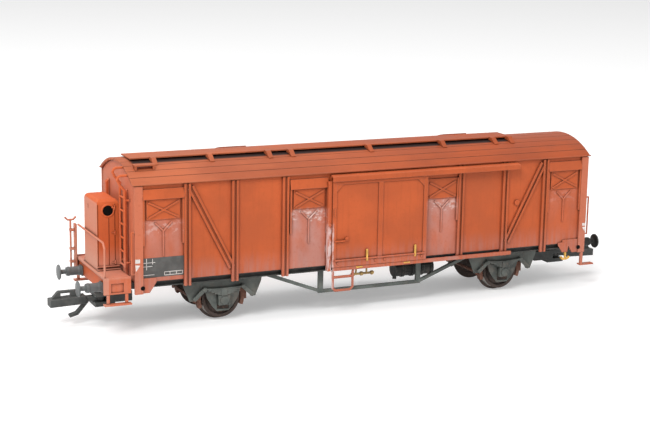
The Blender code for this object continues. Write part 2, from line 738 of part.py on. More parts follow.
def make_end_wall(name, side, material):
    """End wall under the roof's arch, with two stanchions that are chamfered at the top."""
    half_width = PANEL_INNER - SEAT_GAP
    arch = roof_arc(ROOF_SHEET + SEAT_GAP, half_width, -half_width, ROOF_BOARDS)
    foot = PANEL_BOTTOM
    outline = [*arch, (-half_width, foot), (half_width, foot)]
    inner = side * (HALF_BODY - WALL)
    outer = side * HALF_BODY
    panel = prism([outline], min(inner, outer), max(inner, outer), "X")
    pieces = [panel]
    for offset in (-STANCHION_SIDE, STANCHION_SIDE):
        face = outer + side * STANCHION_DEPTH
        root = outer - side * OVERRUN
        profile = [(root, foot), (face, foot), (face, STANCHION_TOP - STANCHION_DEPTH)]
        profile.append((root, STANCHION_TOP))
        low = offset - STANCHION_WIDTH / 2
        pieces.append(prism([profile], low, low + STANCHION_WIDTH, "Y"))
    return fuse(name, material, pieces)


def make_underframe(material):
    """Floor, channel sole bars, centre sill, cross bearers and headstocks as one welded frame."""
    floor_low = FLOOR_TOP - FLOOR_THICKNESS
    inner_half = HALF_BODY - WALL - SEAT_GAP
    floor_half = PANEL_INNER - SEAT_GAP
    floor = block((-inner_half, -floor_half, floor_low), (inner_half, floor_half, FLOOR_TOP))
    pieces = [floor]
    cuts = []
    top = PANEL_BOTTOM - SEAT_GAP
    deck_underside = DECK_TOP - DECK_THICKNESS - SEAT_GAP
    for side in (-1, 1):
        low = (-CAB_HEADSTOCK, min(side * SOLE_INNER, side * SOLE_OUTER), SOLE_BOTTOM)
        high = (PLAIN_HEADSTOCK, max(side * SOLE_INNER, side * SOLE_OUTER), top)
        pieces.append(block(low, high))
        web = side * (SOLE_OUTER - SOLE_WEB_DEPTH)
        past = side * (SOLE_OUTER + OVERRUN)
        low = (-HALF_BODY, min(web, past), SOLE_BOTTOM + SOLE_FLANGE)
        high = (HALF_BODY, max(web, past), top - SOLE_FLANGE)
        cuts.append(block(low, high))
        bearer = side * (SOLE_INNER + SOLE_OUTER) / 2
        low = (-CAB_HEADSTOCK, bearer - BEARER_WIDTH / 2, top - OVERRUN)
        high = (-(HALF_BODY + STANCHION_DEPTH + SEAT_GAP), bearer + BEARER_WIDTH / 2, deck_underside)
        pieces.append(block(low, high))
    ends = (-CAB_HEADSTOCK, PLAIN_HEADSTOCK)
    pieces.append(block((ends[0], -SILL_HALF_WIDTH, SILL_BOTTOM), (ends[1], SILL_HALF_WIDTH, top)))
    for share in BEARER_STATION_SHARES:
        centre = share * HALF_BODY
        low = (centre - BEARER_WIDTH / 2, -SOLE_INNER - OVERRUN, SILL_BOTTOM + SOLE_FLANGE)
        high = (centre + BEARER_WIDTH / 2, SOLE_INNER + OVERRUN, floor_low + OVERRUN)
        pieces.append(block(low, high))
    for end, side, head_top in zip(ends, (-1, 1), (deck_underside, top)):
        back = end - side * HEADSTOCK_THICKNESS
        low = (min(end, back), -HEADSTOCK_HALF_WIDTH, HEADSTOCK_BOTTOM)
        high = (max(end, back), HEADSTOCK_HALF_WIDTH, head_top)
        pieces.append(block(low, high))
    return fuse("underframe", material, pieces, cuts)


def top_rail_mesh():
    """Hooded top rail for the near door: a sheet sloping out from the wall with its edge turned down."""
    root = -(PANEL_OUTER + SEAT_GAP)
    face = -(DOOR_OUTER + DOOR_FRAME_RELIEF + DOOR_CLEARANCE)
    outer = face - TOP_RAIL_SHEET
    post_face = -(BODY_HALF_WIDTH + SEAT_GAP)
    outline = [(post_face, TOP_RAIL_TOP), (outer, TOP_RAIL_TOP - TOP_RAIL_SLOPE), (outer, TOP_RAIL_BOTTOM)]
    outline += [(face, TOP_RAIL_BOTTOM), (face, TOP_RAIL_TOP - TOP_RAIL_SLOPE - TOP_RAIL_SHEET)]
    outline.append((post_face, TOP_RAIL_TOP - TOP_RAIL_SHEET))
    hood = prism([outline], -TOP_RAIL_START, TOP_RAIL_END, "X")
    track_inner = -(DOOR_INNER - SEAT_GAP)
    low = (-TOP_RAIL_START, track_inner, TOP_RAIL_TOP - TOP_RAIL_SHEET - POST_DEPTH)
    flange = block(low, (TOP_RAIL_END, post_face, TOP_RAIL_TOP - OVERRUN))
    return moulded([hood, flange])


def lower_rail_mesh():
    """Lower rail that guides the near door's foot, on brackets from the sole bar."""
    inner = -DOOR_INNER
    outer = inner - LOWER_RAIL_DEPTH
    low = (-LOWER_RAIL_START, outer, LOWER_RAIL_BOTTOM)
    rail = block(low, (LOWER_RAIL_END, inner, LOWER_RAIL_TOP))
    pieces = [rail]
    length = LOWER_RAIL_START + LOWER_RAIL_END
    for share in RAIL_BRACKET_SHARES:
        centre = -LOWER_RAIL_START + share * length
        low = (centre - RAIL_BRACKET_WIDTH / 2, inner - OVERRUN, LOWER_RAIL_BOTTOM + SOLE_FLANGE)
        high = (centre + RAIL_BRACKET_WIDTH / 2, -(SOLE_OUTER + SEAT_GAP), LOWER_RAIL_TOP - SOLE_FLANGE)
        pieces.append(block(low, high))
    return moulded(pieces)


def door_mesh():
    """Near sliding door: a leaf with two sunk panels, gusseted at the top, its handle, latch and grabs."""
    half = DOOR_WIDTH / 2
    outer = -DOOR_OUTER
    face = outer - DOOR_FRAME_RELIEF
    root = outer + OVERRUN
    pieces = [block((-half, face, DOOR_BOTTOM), (half, -DOOR_INNER, DOOR_TOP))]
    top = DOOR_TOP - DOOR_SILL_WIDTH
    cuts = []
    for side in (-1, 1):
        edge = side * (half - DOOR_FRAME_WIDTH)
        stile = side * DOOR_STILE_WIDTH / 2
        panel = [(stile, DOOR_SILL_HEIGHT), (stile, top), (edge - side * DOOR_GUSSET, top)]
        panel += [(edge, top - DOOR_GUSSET), (edge, DOOR_SILL_HEIGHT)]
        cuts.append(prism([panel], face - OVERRUN, outer, "Y"))
    stand_off = face - DOOR_HANDLE_RADIUS / 2
    edge = -half + DOOR_FRAME_WIDTH / 2
    grip = edge + DOOR_HANDLE_LENGTH
    bar = [(edge, stand_off, DOOR_HANDLE_HEIGHT), (grip, stand_off, DOOR_HANDLE_HEIGHT)]
    fixings = [rod(bar, DOOR_HANDLE_RADIUS)]
    knob = (grip, 0, DOOR_HANDLE_HEIGHT + DOOR_HANDLE_KNOB)
    fixings.append(disc(DOOR_HANDLE_KNOB, face - DOOR_HANDLE_RADIUS, root, "Y", HOLE_STEPS, knob))
    latch = (edge, 0, DOOR_LATCH_HEIGHT)
    fixings.append(disc(DOOR_HANDLE_KNOB, face - DOOR_HANDLE_RADIUS, root, "Y", HOLE_STEPS, latch))
    for share in DOOR_GRAB_SHARES:
        x = share * DOOR_WIDTH
        foot = DOOR_SILL_HEIGHT - DOOR_HANDLE_RADIUS
        grab = [(x, stand_off, foot), (x, stand_off, foot + DOOR_GRAB_LENGTH)]
        fixings.append(rod(grab, DOOR_HANDLE_RADIUS))
    return moulded(pieces, cuts, fixings)


def wheel_profile(back, tip):
    """(radius, distance from the wagon's middle) round one wheel and half the axle, outer end first."""
    tread_back = back + FLANGE_WIDTH
    front = back + WHEEL_WIDTH
    rim = WHEEL_RADIUS - RIM_DEPTH
    disc_front = front - DISC_RECESS
    disc_back = back + DISC_RECESS
    flange = WHEEL_RADIUS + FLANGE_DEPTH
    journal = tip - JOURNAL_LENGTH
    return [
        (0, tip), (JOURNAL_RADIUS, tip), (JOURNAL_RADIUS, journal), (HUB_RADIUS, front),
        (HUB_RADIUS, disc_front), (rim, disc_front), (rim, front), (WHEEL_RADIUS, front),
        (WHEEL_RADIUS, tread_back), (flange, tread_back - FLANGE_WIDTH / 3),
        (flange, back + FLANGE_WIDTH / 3), (WHEEL_RADIUS, back), (rim, back), (rim, disc_back),
        (HUB_RADIUS, disc_back), (HUB_RADIUS, back), (AXLE_RADIUS, back),
    ]


def wheelset_mesh():
    """Axle with two flanged wheels, turned as one body about its own axis."""
    outer = wheel_profile(WHEEL_BACK_TO_BACK / 2, AXLE_HALF_LENGTH)
    profile = outer + [(radius, -height) for radius, height in reversed(outer)]
    return moulded([turned(profile, "Y", WHEEL_STEPS)])


def guard_mesh():
    """Axle guard at the cab end's near side: a plate with two legs round the axle box and a tie bar."""
    left = [(-GUARD_TOP_HALF, SOLE_BOTTOM - SEAT_GAP), (-GUARD_TOP_HALF, GUARD_SHOULDER_HEIGHT)]
    left += [(-GUARD_WAIST_HALF, GUARD_WAIST_HEIGHT), (-GUARD_LEG_OUTER, GUARD_FOOT_HEIGHT)]
    outline = left + [(-x, z) for x, z in reversed(left)]
    tie_top = GUARD_FOOT_HEIGHT + TIE_BAR_HEIGHT
    notch = [(-GUARD_LEG_INNER, tie_top), (-GUARD_LEG_INNER, GUARD_NOTCH_TOP)]
    notch += [(GUARD_LEG_INNER, GUARD_NOTCH_TOP), (GUARD_LEG_INNER, tie_top)]
    outer = -(GUARD_SIDE + GUARD_THICKNESS)
    return moulded([prism([outline, notch], outer, -GUARD_SIDE, "Y")])


def spring_mesh():
    """Leaf spring with its buckle, an eye at each end and a leaning shackle down from each eye."""
    side = -(GUARD_SIDE + GUARD_THICKNESS + SEAT_GAP)
    shares = [i / SPRING_STEPS for i in range(SPRING_STEPS + 1)]
    top, low = [], []
    for share in shares:
        x = (2 * share - 1) * SPRING_HALF_LENGTH
        depth = 1 - (x / SPRING_HALF_LENGTH) ** 2
        swell = (SPRING_MIDDLE_THICKNESS - SPRING_TIP_THICKNESS) * (1 - abs(2 * share - 1))
        thickness = SPRING_TIP_THICKNESS + swell
        height = SPRING_EYE_HEIGHT - SPRING_SAG * depth / 2
        top.append((x, height + SPRING_TIP_THICKNESS / 2))
        low.append((x, height + SPRING_TIP_THICKNESS / 2 - thickness))
    pieces = [prism([top + low[::-1]], side - SPRING_WIDTH, side, "Y")]
    middle = SPRING_EYE_HEIGHT - SPRING_SAG / 2
    buckle_low = WHEEL_RADIUS + AXLE_BOX_HEIGHT / 2 + SEAT_GAP
    low_corner = (-BUCKLE_HALF_WIDTH, side - SPRING_WIDTH - OVERRUN, buckle_low)
    pieces.append(block(low_corner, (BUCKLE_HALF_WIDTH, side, middle + SPRING_TIP_THICKNESS)))
    for end in (-1, 1):
        eye = (end * SPRING_HALF_LENGTH, 0, SPRING_EYE_HEIGHT)
        pieces.append(disc(SPRING_EYE_RADIUS, side - SPRING_WIDTH - OVERRUN, side, "Y", HOLE_STEPS, eye))
        foot = (end * (SPRING_HALF_LENGTH + SHACKLE_REACH), SPRING_EYE_HEIGHT - SHACKLE_DROP)
        start = (end * SPRING_HALF_LENGTH, SPRING_EYE_HEIGHT)
        pieces.append(strip(start, foot, SHACKLE_WIDTH, side - SPRING_WIDTH / 2, SPRING_WIDTH / 2))
    return moulded(pieces)


def axle_box_mesh():
    """Axle box in the guard's notch, with a round cover in front and a blind bore for the axle's end."""
    half_height = AXLE_BOX_HEIGHT / 2
    low = (-AXLE_BOX_HALF_WIDTH, -AXLE_BOX_FRONT, WHEEL_RADIUS - half_height)
    box = block(low, (AXLE_BOX_HALF_WIDTH, -GUARD_SIDE, WHEEL_RADIUS + half_height))
    centre = (0, 0, WHEEL_RADIUS)
    front = -(AXLE_BOX_FRONT + AXLE_BOX_COVER_DEPTH)
    cover = disc(AXLE_BOX_COVER_RADIUS, front, OVERRUN - AXLE_BOX_FRONT, "Y", HOLE_STEPS, centre)
    tip = AXLE_HALF_LENGTH + BORE_END_CLEARANCE
    bore = disc(JOURNAL_RADIUS + BORE_CLEARANCE, -tip, OVERRUN - GUARD_SIDE, "Y", HOLE_STEPS, centre)
    return moulded([box, cover], [bore])


def brake_mesh():
    """Brake beam with a shoe and a hanger at each wheel, on the cab side of an axle."""
    inner = WHEEL_RADIUS + SHOE_CLEARANCE
    outer = inner + SHOE_THICKNESS
    half_angle = math.pi * SHOE_HALF_ANGLE_SHARE
    angles = [-half_angle + 2 * half_angle * i / SHOE_STEPS for i in range(SHOE_STEPS + 1)]
    arc = [(-inner * math.cos(a), WHEEL_RADIUS + inner * math.sin(a)) for a in angles]
    arc += [(-outer * math.cos(a), WHEEL_RADIUS + outer * math.sin(a)) for a in reversed(angles)]
    beam_x = -(outer + HANGER_WIDTH / 2)
    top = FLOOR_TOP - FLOOR_THICKNESS - SEAT_GAP
    reach = SHOE_INNER_SIDE + SHOE_WIDTH / 2
    beam = rod([(beam_x, -reach, BRAKE_BEAM_HEIGHT), (beam_x, reach, BRAKE_BEAM_HEIGHT)], BRAKE_BEAM_RADIUS)
    pieces = [beam]
    for side in (-1, 1):
        middle = side * (SHOE_INNER_SIDE + SHOE_WIDTH / 2)
        pieces.append(prism([arc], middle - SHOE_WIDTH / 2, middle + SHOE_WIDTH / 2, "Y"))
        low = (beam_x - HANGER_WIDTH / 2, middle - HANGER_WIDTH / 2, BRAKE_BEAM_HEIGHT - HANGER_WIDTH)
        high = (-outer + SHOE_CLEARANCE, middle + HANGER_WIDTH / 2, top)
        pieces.append(block(low, high))
    return moulded(pieces)


def truss_mesh():
    """Near truss: two posts under the sole bar, a bottom bar and a diagonal from each post's foot."""
    outer = -(TRUSS_SIDE + TRUSS_THICKNESS)
    bar_middle = TRUSS_BAR_BOTTOM + TRUSS_BAR_HEIGHT / 2
    top = SOLE_BOTTOM - SEAT_GAP
    reach = TRUSS_POST_STATION + TRUSS_POST_WIDTH / 2
    low = (-reach, outer, TRUSS_BAR_BOTTOM)
    pieces = [block(low, (reach, -TRUSS_SIDE, TRUSS_BAR_BOTTOM + TRUSS_BAR_HEIGHT))]
    for side in (-1, 1):
        x = side * TRUSS_POST_STATION
        low = (x - TRUSS_POST_WIDTH / 2, outer, TRUSS_BAR_BOTTOM)
        pieces.append(block(low, (x + TRUSS_POST_WIDTH / 2, -TRUSS_SIDE, top)))
        foot = side * TRUSS_FOOT_STATION
        rise = TRUSS_BAR_HEIGHT / 2
        outline = [(x, TRUSS_BAR_BOTTOM), (x, bar_middle + rise), (foot, top)]
        outline += [(foot + side * TRUSS_POST_WIDTH, top), (foot + side * TRUSS_POST_WIDTH, top - rise)]
        pieces.append(prism([outline], outer, -TRUSS_SIDE, "Y"))
    return moulded(pieces)


def buffer_mesh():
    """Buffer with its base against the cab headstock, on the near side: base, sleeve, plunger and head."""
    face = BUFFER_LENGTH
    back = face - BUFFER_HEAD_THICKNESS
    profile = [(0, face), (BUFFER_HEAD_RADIUS / 2, face - BUFFER_CROWN / 4)]
    profile += [(BUFFER_HEAD_RADIUS, face - BUFFER_CROWN), (BUFFER_HEAD_RADIUS, back)]
    profile += [(BUFFER_PLUNGER_RADIUS, back - BUFFER_CROWN), (BUFFER_PLUNGER_RADIUS, BUFFER_SLEEVE_LENGTH)]
    profile += [(BUFFER_SLEEVE_RADIUS, BUFFER_SLEEVE_LENGTH), (BUFFER_SLEEVE_RADIUS, 0), (0, 0)]
    shank = turned(profile, "X", BUFFER_STEPS)
    base = block((SEAT_GAP, -BUFFER_BASE, -BUFFER_BASE), (BUFFER_BASE_THICKNESS, BUFFER_BASE, BUFFER_BASE))
    trim = block((-OVERRUN, -BUFFER_BASE, -BUFFER_BASE), (SEAT_GAP, BUFFER_BASE, BUFFER_BASE))
    return moulded([shank, base], [trim])


def coupler_box_mesh():
    """Stepped box below the sill, built about the pin in its slot with +X outwards."""
    half = COUPLER_BOX_HALF_WIDTH
    front = COUPLER_PIVOT_INSET
    back = front - COUPLER_BOX_LENGTH
    step = front - COUPLER_BOX_LENGTH + COUPLER_BOX_STEP_LENGTH
    body = block((back, -half, COUPLER_BOX_BOTTOM), (front, half, COUPLER_BOX_TOP))
    riser_top = SILL_BOTTOM - SEAT_GAP
    riser = block((back, -SILL_HALF_WIDTH, COUPLER_BOX_TOP - OVERRUN), (step, SILL_HALF_WIDTH, riser_top))
    slot_low = COUPLER_SHAFT_BOTTOM - COUPLER_PLAY
    slot_high = COUPLER_SHAFT_TOP + COUPLER_PLAY
    slot_back = -(COUPLER_EYE_RADIUS + COUPLER_PLAY)
    past = half + OVERRUN
    plan = [(slot_back, -past), (front + OVERRUN, -past), (front + OVERRUN, past), (slot_back, past)]
    slot = prism([plan, ring(COUPLER_PIN_RADIUS, COUPLER_STEPS)], slot_low, slot_high, "Z")
    raised = COUPLER_BOX_BOTTOM + COUPLER_BOX_STEP_RISE
    notch = block((back - OVERRUN, -past, COUPLER_BOX_BOTTOM - OVERRUN), (step, past, raised))
    return moulded([body, riser], [slot, notch])


def coupler_head_mesh():
    """Hook head on its shaft, built about the pin: two cheeks under a slotted plate, and a bent tail."""
    half = COUPLER_HEAD_HALF_WIDTH
    start = COUPLER_REACH - COUPLER_HEAD_LENGTH
    shaft = COUPLER_SHAFT_HALF_WIDTH
    eye = disc(COUPLER_EYE_RADIUS, COUPLER_SHAFT_BOTTOM, COUPLER_SHAFT_TOP, "Z", COUPLER_STEPS)
    reach = start + COUPLER_CHEEK
    stem = block((0, -shaft, COUPLER_SHAFT_BOTTOM), (reach, shaft, COUPLER_SHAFT_TOP))
    plate_low = COUPLER_PLATE_TOP - COUPLER_PLATE_THICKNESS
    web = block((start, -half, COUPLER_SHAFT_BOTTOM), (reach, half, COUPLER_PLATE_TOP))
    plate_end = COUPLER_REACH - COUPLER_TIP_LENGTH
    plate = block((start, -half, plate_low), (plate_end, half, COUPLER_PLATE_TOP))
    tip_top = COUPLER_HEAD_BOTTOM + COUPLER_TIP_HEIGHT
    cheek = [(start, COUPLER_HEAD_BOTTOM), (COUPLER_REACH, COUPLER_HEAD_BOTTOM), (COUPLER_REACH, tip_top)]
    cheek += [(plate_end, plate_low), (plate_end, COUPLER_PLATE_TOP), (start, COUPLER_PLATE_TOP)]
    pieces = [eye, stem, web, plate]
    for low in (-half, half - COUPLER_CHEEK):
        pieces.append(prism([cheek], low, low + COUPLER_CHEEK, "Y"))
    nose = block((plate_end, -half, COUPLER_HEAD_BOTTOM), (COUPLER_REACH, half, tip_top))
    pieces.append(nose)
    bend = start + COUPLER_TAIL_LENGTH
    tail = COUPLER_TAIL_WIDTH
    fall = (start + COUPLER_CHEEK / 2, COUPLER_SHAFT_BOTTOM + OVERRUN)
    foot = (bend, COUPLER_TAIL_BOTTOM + tail / 2)
    pieces.append(strip(fall, foot, tail, -tail, 2 * tail))
    hole = disc(COUPLER_PIN_RADIUS + COUPLER_PLAY, 0, COUPLER_PLATE_TOP, "Z", COUPLER_STEPS)
    middle = (start + plate_end) / 2
    slot_half = half - 2 * COUPLER_CHEEK
    low = (middle - COUPLER_SLOT_LENGTH / 2, -slot_half, plate_low - OVERRUN)
    slot = block(low, (middle + COUPLER_SLOT_LENGTH / 2, slot_half, COUPLER_PLATE_TOP + OVERRUN))
    return moulded(pieces, [hole, slot])


def make_platform(material):
    """Deck at the cab end with a pocketed side plate along each side."""
    start = -(HALF_BODY + STANCHION_DEPTH + SEAT_GAP)
    end = -(CAB_HEADSTOCK + SIDE_PLATE_THICKNESS)
    half = SIDE_PLATE_SIDE - OVERRUN
    pieces = [block((end, -half, DECK_TOP - DECK_THICKNESS), (start, half, DECK_TOP))]
    cuts = []
    plate_end = start - SIDE_PLATE_LENGTH
    for side in (-1, 1):
        outer = side * SIDE_PLATE_SIDE
        inner = side * (SIDE_PLATE_SIDE - SIDE_PLATE_THICKNESS)
        low = (plate_end, min(inner, outer), SIDE_PLATE_BOTTOM)
        pieces.append(block(low, (start, max(inner, outer), DECK_TOP + SIDE_PLATE_LIP)))
        floor = side * (SIDE_PLATE_SIDE - POCKET_DEPTH)
        past = side * (SIDE_PLATE_SIDE + OVERRUN)
        pocket = (start + plate_end) / 2 - POCKET_LENGTH / 2
        low = (pocket, min(floor, past), POCKET_BOTTOM)
        cuts.append(block(low, (pocket + POCKET_LENGTH, max(floor, past), POCKET_BOTTOM + POCKET_HEIGHT)))
    return fuse("platform", material, pieces, cuts)


def make_booth(material):
    """Hollow booth with rounded edges, open below, with a round window in each side and a slot in front."""
    near_x = -(HALF_BODY + BOOTH_START)
    far_x = near_x - BOOTH_LENGTH
    foot = DECK_TOP + SEAT_GAP
    shell = block((far_x, -BOOTH_NEAR, foot), (near_x, BOOTH_FAR, BOOTH_TOP))
    edges = [e for e in shell.data.edges if rounded_edge(shell.data, e, foot)]
    mark_bevel(shell.data, edges)
    bevel = shell.modifiers.new("round", "BEVEL")
    bevel.limit_method = "WEIGHT"
    bevel.width = BOOTH_ROUND
    bevel.segments = BOOTH_ROUND_SEGMENTS
    wall = BOOTH_WALL
    low = (far_x + wall, wall - BOOTH_NEAR, foot - OVERRUN)
    hollow = block(low, (near_x - wall, BOOTH_FAR - wall, BOOTH_TOP - wall - BOOTH_ROUND / 2))
    window_x = (near_x + far_x) / 2
    place = (window_x, 0, WINDOW_HEIGHT)
    cuts = [hollow, disc(WINDOW_RADIUS, -BOOTH_NEAR - OVERRUN, BOOTH_FAR + OVERRUN, "Y", WINDOW_STEPS, place)]
    middle = (BOOTH_FAR - BOOTH_NEAR) / 2 + BOOTH_SLOT_OFFSET
    half_slot = BOOTH_SLOT_WIDTH / 2
    low = (far_x - OVERRUN, middle - half_slot, WINDOW_HEIGHT - BOOTH_SLOT_HEIGHT / 2)
    high = (far_x + wall + OVERRUN, middle + half_slot, WINDOW_HEIGHT + BOOTH_SLOT_HEIGHT / 2)
    cuts.append(block(low, high))
    return fuse("booth", material, [shell], cuts)


def rounded_edge(mesh, edge, foot):
    """True for every edge of the booth's block that doesn't lie along its foot."""
    return all(mesh.vertices[i].co.z > foot + SEAT_GAP for i in edge.vertices)


def mark_bevel(mesh, edges):
    weights = mesh.attributes.new("bevel_weight_edge", "FLOAT", "EDGE")
    for edge in edges:
        weights.data[edge.index].value = 1


def make_railing(material):
    """Hand rail round the platform's near corner and across its end, with a middle post."""
    x = -(CAB_HEADSTOCK + SIDE_PLATE_THICKNESS - ROD_RADIUS)
    foot = DECK_TOP + SEAT_GAP
    bend = RAILING_HEIGHT - RAILING_BEND_HEIGHT
    far = STAND_SIDE - STAND_WIDTH / 2 - SEAT_GAP
    path = [(x, -RAILING_SIDE, foot), (x, -RAILING_SIDE, RAILING_BEND_HEIGHT)]
    path += [(x, bend - RAILING_SIDE, RAILING_HEIGHT), (x, far, RAILING_HEIGHT)]
    return fuse("railing", material, [rod(path, ROD_RADIUS)])


def make_brake_stand(material):
    """Stand plate at the platform's far corner with the brake spindle, its rings and its crank."""
    x = -(CAB_HEADSTOCK + SIDE_PLATE_THICKNESS + SEAT_GAP)
    low = (x - STAND_THICKNESS, STAND_SIDE - STAND_WIDTH / 2, STAND_BOTTOM)
    plate = block(low, (x, STAND_SIDE + STAND_WIDTH / 2, STAND_TOP))
    spindle_x = x - STAND_THICKNESS - STAND_ROD_OFFSET
    spindle = rod([(spindle_x, STAND_SIDE, STAND_BOTTOM), (spindle_x, STAND_SIDE, CRANK_HEIGHT)], ROD_RADIUS)
    pieces = [plate, spindle]
    for share in STAND_RING_SHARES:
        z = STAND_BOTTOM + share * (STAND_TOP - STAND_BOTTOM)
        low = (spindle_x - ROD_RADIUS, STAND_SIDE - 2 * ROD_RADIUS, z - ROD_RADIUS)
        pieces.append(block(low, (x - OVERRUN, STAND_SIDE + 2 * ROD_RADIUS, z + ROD_RADIUS)))
    knob = CRANK_HEIGHT + CRANK_ARM / 2
    crank = [(spindle_x - CRANK_ARM, STAND_SIDE, knob), (spindle_x - CRANK_ARM / 2, STAND_SIDE, CRANK_HEIGHT)]
    crank.append((spindle_x + CRANK_ARM / 2, STAND_SIDE, CRANK_HEIGHT))
    crank.append((spindle_x + CRANK_ARM, STAND_SIDE, knob))
    pieces.append(rod(crank, ROD_RADIUS))
    return fuse("brake_stand", material, pieces)


def roof_height(y, inset=0):
    """Height of the roof's outer skin, less the inset, at a distance from the wagon's middle."""
    return ROOF_CENTRE_HEIGHT + math.sqrt((ROOF_RADIUS - inset) ** 2 - y**2)


def make_ladder(material):
    """Roof ladder beside the booth: two rails that hook over the roof's end, and evenly spaced rungs."""
    x = -(HALF_BODY + LADDER_REACH)
    pieces = []
    for side in (-1, 1):
        y = side * LADDER_HALF_WIDTH - LADDER_SIDE
        roof = roof_height(y)
        top = roof + LADDER_RISE
        path = [(x, y, LADDER_FOOT), (x, y, roof), (x + LADDER_RISE / 2, y, top)]
        path += [(x + LADDER_HOOK - LADDER_RISE / 2, y, top), (x + LADDER_HOOK, y, roof + SEAT_GAP)]
        pieces.append(rod(path, ROD_RADIUS))
    rungs = int((EAVE_HEIGHT - LADDER_FOOT) / LADDER_RUNG_PITCH) + 1
    near, far = -LADDER_SIDE - LADDER_HALF_WIDTH, -LADDER_SIDE + LADDER_HALF_WIDTH
    for i in range(rungs):
        z = LADDER_FOOT + ROD_RADIUS + i * LADDER_RUNG_PITCH
        pieces.append(rod([(x, near, z), (x, far, z)], ROD_RADIUS, 0))
    return fuse("ladder", material, pieces)


def door_step_mesh():
    """U-shaped step of bent rod below the door, with one rung."""
    side = -(DOOR_INNER + LOWER_RAIL_DEPTH / 2)
    left = -DOOR_STEP_START
    right = left + DOOR_STEP_WIDTH
    top = LOWER_RAIL_BOTTOM - SEAT_GAP
    corner = DOOR_STEP_CORNER
    low = DOOR_STEP_BOTTOM
    path = [(left, side, top), (left, side, low + corner), (left + corner, side, low)]
    path += [(right - corner, side, low), (right, side, low + corner), (right, side, top)]
    frame = rod(path, DOOR_STEP_RADIUS)
    rung = rod([(left, side, DOOR_STEP_RUNG), (right, side, DOOR_STEP_RUNG)], DOOR_STEP_RADIUS)
    return moulded([frame, rung])


def platform_step_mesh():
    """Step below the platform's near side plate: two legs and a tread."""
    start = -(HALF_BODY + STANCHION_DEPTH + SEAT_GAP)
    end = start - SIDE_PLATE_LENGTH
    outer = -SIDE_PLATE_SIDE
    low = (end, outer - STEP_TREAD_WIDTH / 2, PLATFORM_STEP_BOTTOM)
    pieces = [block(low, (start, outer + STEP_TREAD_WIDTH / 2, PLATFORM_STEP_BOTTOM + STEP_TREAD_THICKNESS))]
    for x in (start - STEP_LEG_WIDTH * 2, end + STEP_LEG_WIDTH):
        low = (x, outer, PLATFORM_STEP_BOTTOM)
        high = (x + STEP_LEG_WIDTH, outer + STEP_LEG_THICKNESS, SIDE_PLATE_BOTTOM - SEAT_GAP)
        pieces.append(block(low, high))
    return moulded(pieces)


def shunter_step_mesh():
    """Shunter's step at the plain end's near corner: a leg under the corner post and a tread past the end."""
    left = HALF_BODY - CORNER_POST_WIDTH / 2
    outer = -BODY_HALF_WIDTH
    top = CORNER_POST_BOTTOM - SEAT_GAP
    low = (left, outer, SHUNTER_STEP_BOTTOM)
    leg = block(low, (left + STEP_LEG_WIDTH, outer + POST_DEPTH, top))
    tread_end = HALF_BODY + SHUNTER_STEP_REACH
    high = (tread_end, outer + STEP_TREAD_WIDTH, SHUNTER_STEP_BOTTOM + STEP_TREAD_THICKNESS)
    return moulded([leg, block(low, high)])


def rope_hook_mesh():
    """Rope hook below the tab on the near side wall."""
    x = HALF_BODY * HOOK_STATION_SHARE
    side = -(PANEL_OUTER + BODY_HALF_WIDTH) / 2
    top = HOOK_TAB_BOTTOM - SEAT_GAP
    half = HOOK_WIDTH / 2
    low = top - HOOK_DROP
    path = [(x, side, top), (x, side, low), (x + half, side, low - half / 2)]
    path.append((x + HOOK_WIDTH, side, low + half))
    return moulded([rod(path, HOOK_RADIUS)])


def make_air_cylinder(material):
    """Ribbed air cylinder hung from the floor, with a small valve below its cab end."""
    half = CYLINDER_LENGTH / 2
    profile = [(0, half)]
    pitch = CYLINDER_LENGTH / CYLINDER_RIBS
    rib = CYLINDER_RADIUS + CYLINDER_RIB_HEIGHT
    for i in range(CYLINDER_RIBS):
        top = half - i * pitch
        profile += [(rib, top), (rib, top - pitch / 4), (CYLINDER_RADIUS, top - pitch / 4)]
        profile.append((CYLINDER_RADIUS, top - pitch))
    profile.append((0, -half))
    centre = (CYLINDER_STATION, -CYLINDER_SIDE, CYLINDER_HEIGHT)
    pieces = [turned(profile, "X", CYLINDER_STEPS, centre)]
    strap = BEARER_WIDTH / 2
    top = FLOOR_TOP - FLOOR_THICKNESS - SEAT_GAP
    for side in (-1, 1):
        x = CYLINDER_STATION + side * (half - pitch / 2)
        low = (x - strap / 2, -CYLINDER_SIDE - strap, CYLINDER_HEIGHT)
        pieces.append(block(low, (x + strap / 2, -CYLINDER_SIDE + strap, top)))
    valve = (CYLINDER_STATION - half + strap, -CYLINDER_SIDE, 0)
    low = CYLINDER_HEIGHT - VALVE_DROP
    pieces.append(disc(strap, low, CYLINDER_HEIGHT, "Z", HOLE_STEPS, valve))
    return fuse("air_cylinder", material, pieces)


def make_changeover(material):
    """Changeover gear on the near side: a shaft with three round knobs on two brackets."""
    knob = GEAR_KNOB_RADIUS
    profile = [(0, knob)]
    for share in reversed(GEAR_KNOB_SHARES):
        x = share * GEAR_LENGTH
        profile += [(knob / 2, x + knob), (knob, x + knob / 2), (knob, x - knob / 2), (knob / 2, x - knob)]
        profile += [(GEAR_ROD_RADIUS, x - knob)] if share > min(GEAR_KNOB_SHARES) else [(0, x - knob)]
        if share < max(GEAR_KNOB_SHARES):
            profile.insert(len(profile) - 5, (GEAR_ROD_RADIUS, x + knob))
    centre = (0, -GEAR_SIDE, GEAR_ROD_HEIGHT)
    pieces = [turned(profile, "X", HOLE_STEPS, centre)]
    for share in GEAR_BRACKET_SHARES:
        x = share * GEAR_LENGTH
        half = GEAR_BRACKET_WIDTH / 2
        low = (x - half, -GEAR_SIDE - half, GEAR_ROD_HEIGHT)
        pieces.append(block(low, (x + half, -GEAR_SIDE + half, SOLE_BOTTOM - SEAT_GAP)))
    return fuse("changeover_gear", material, pieces)


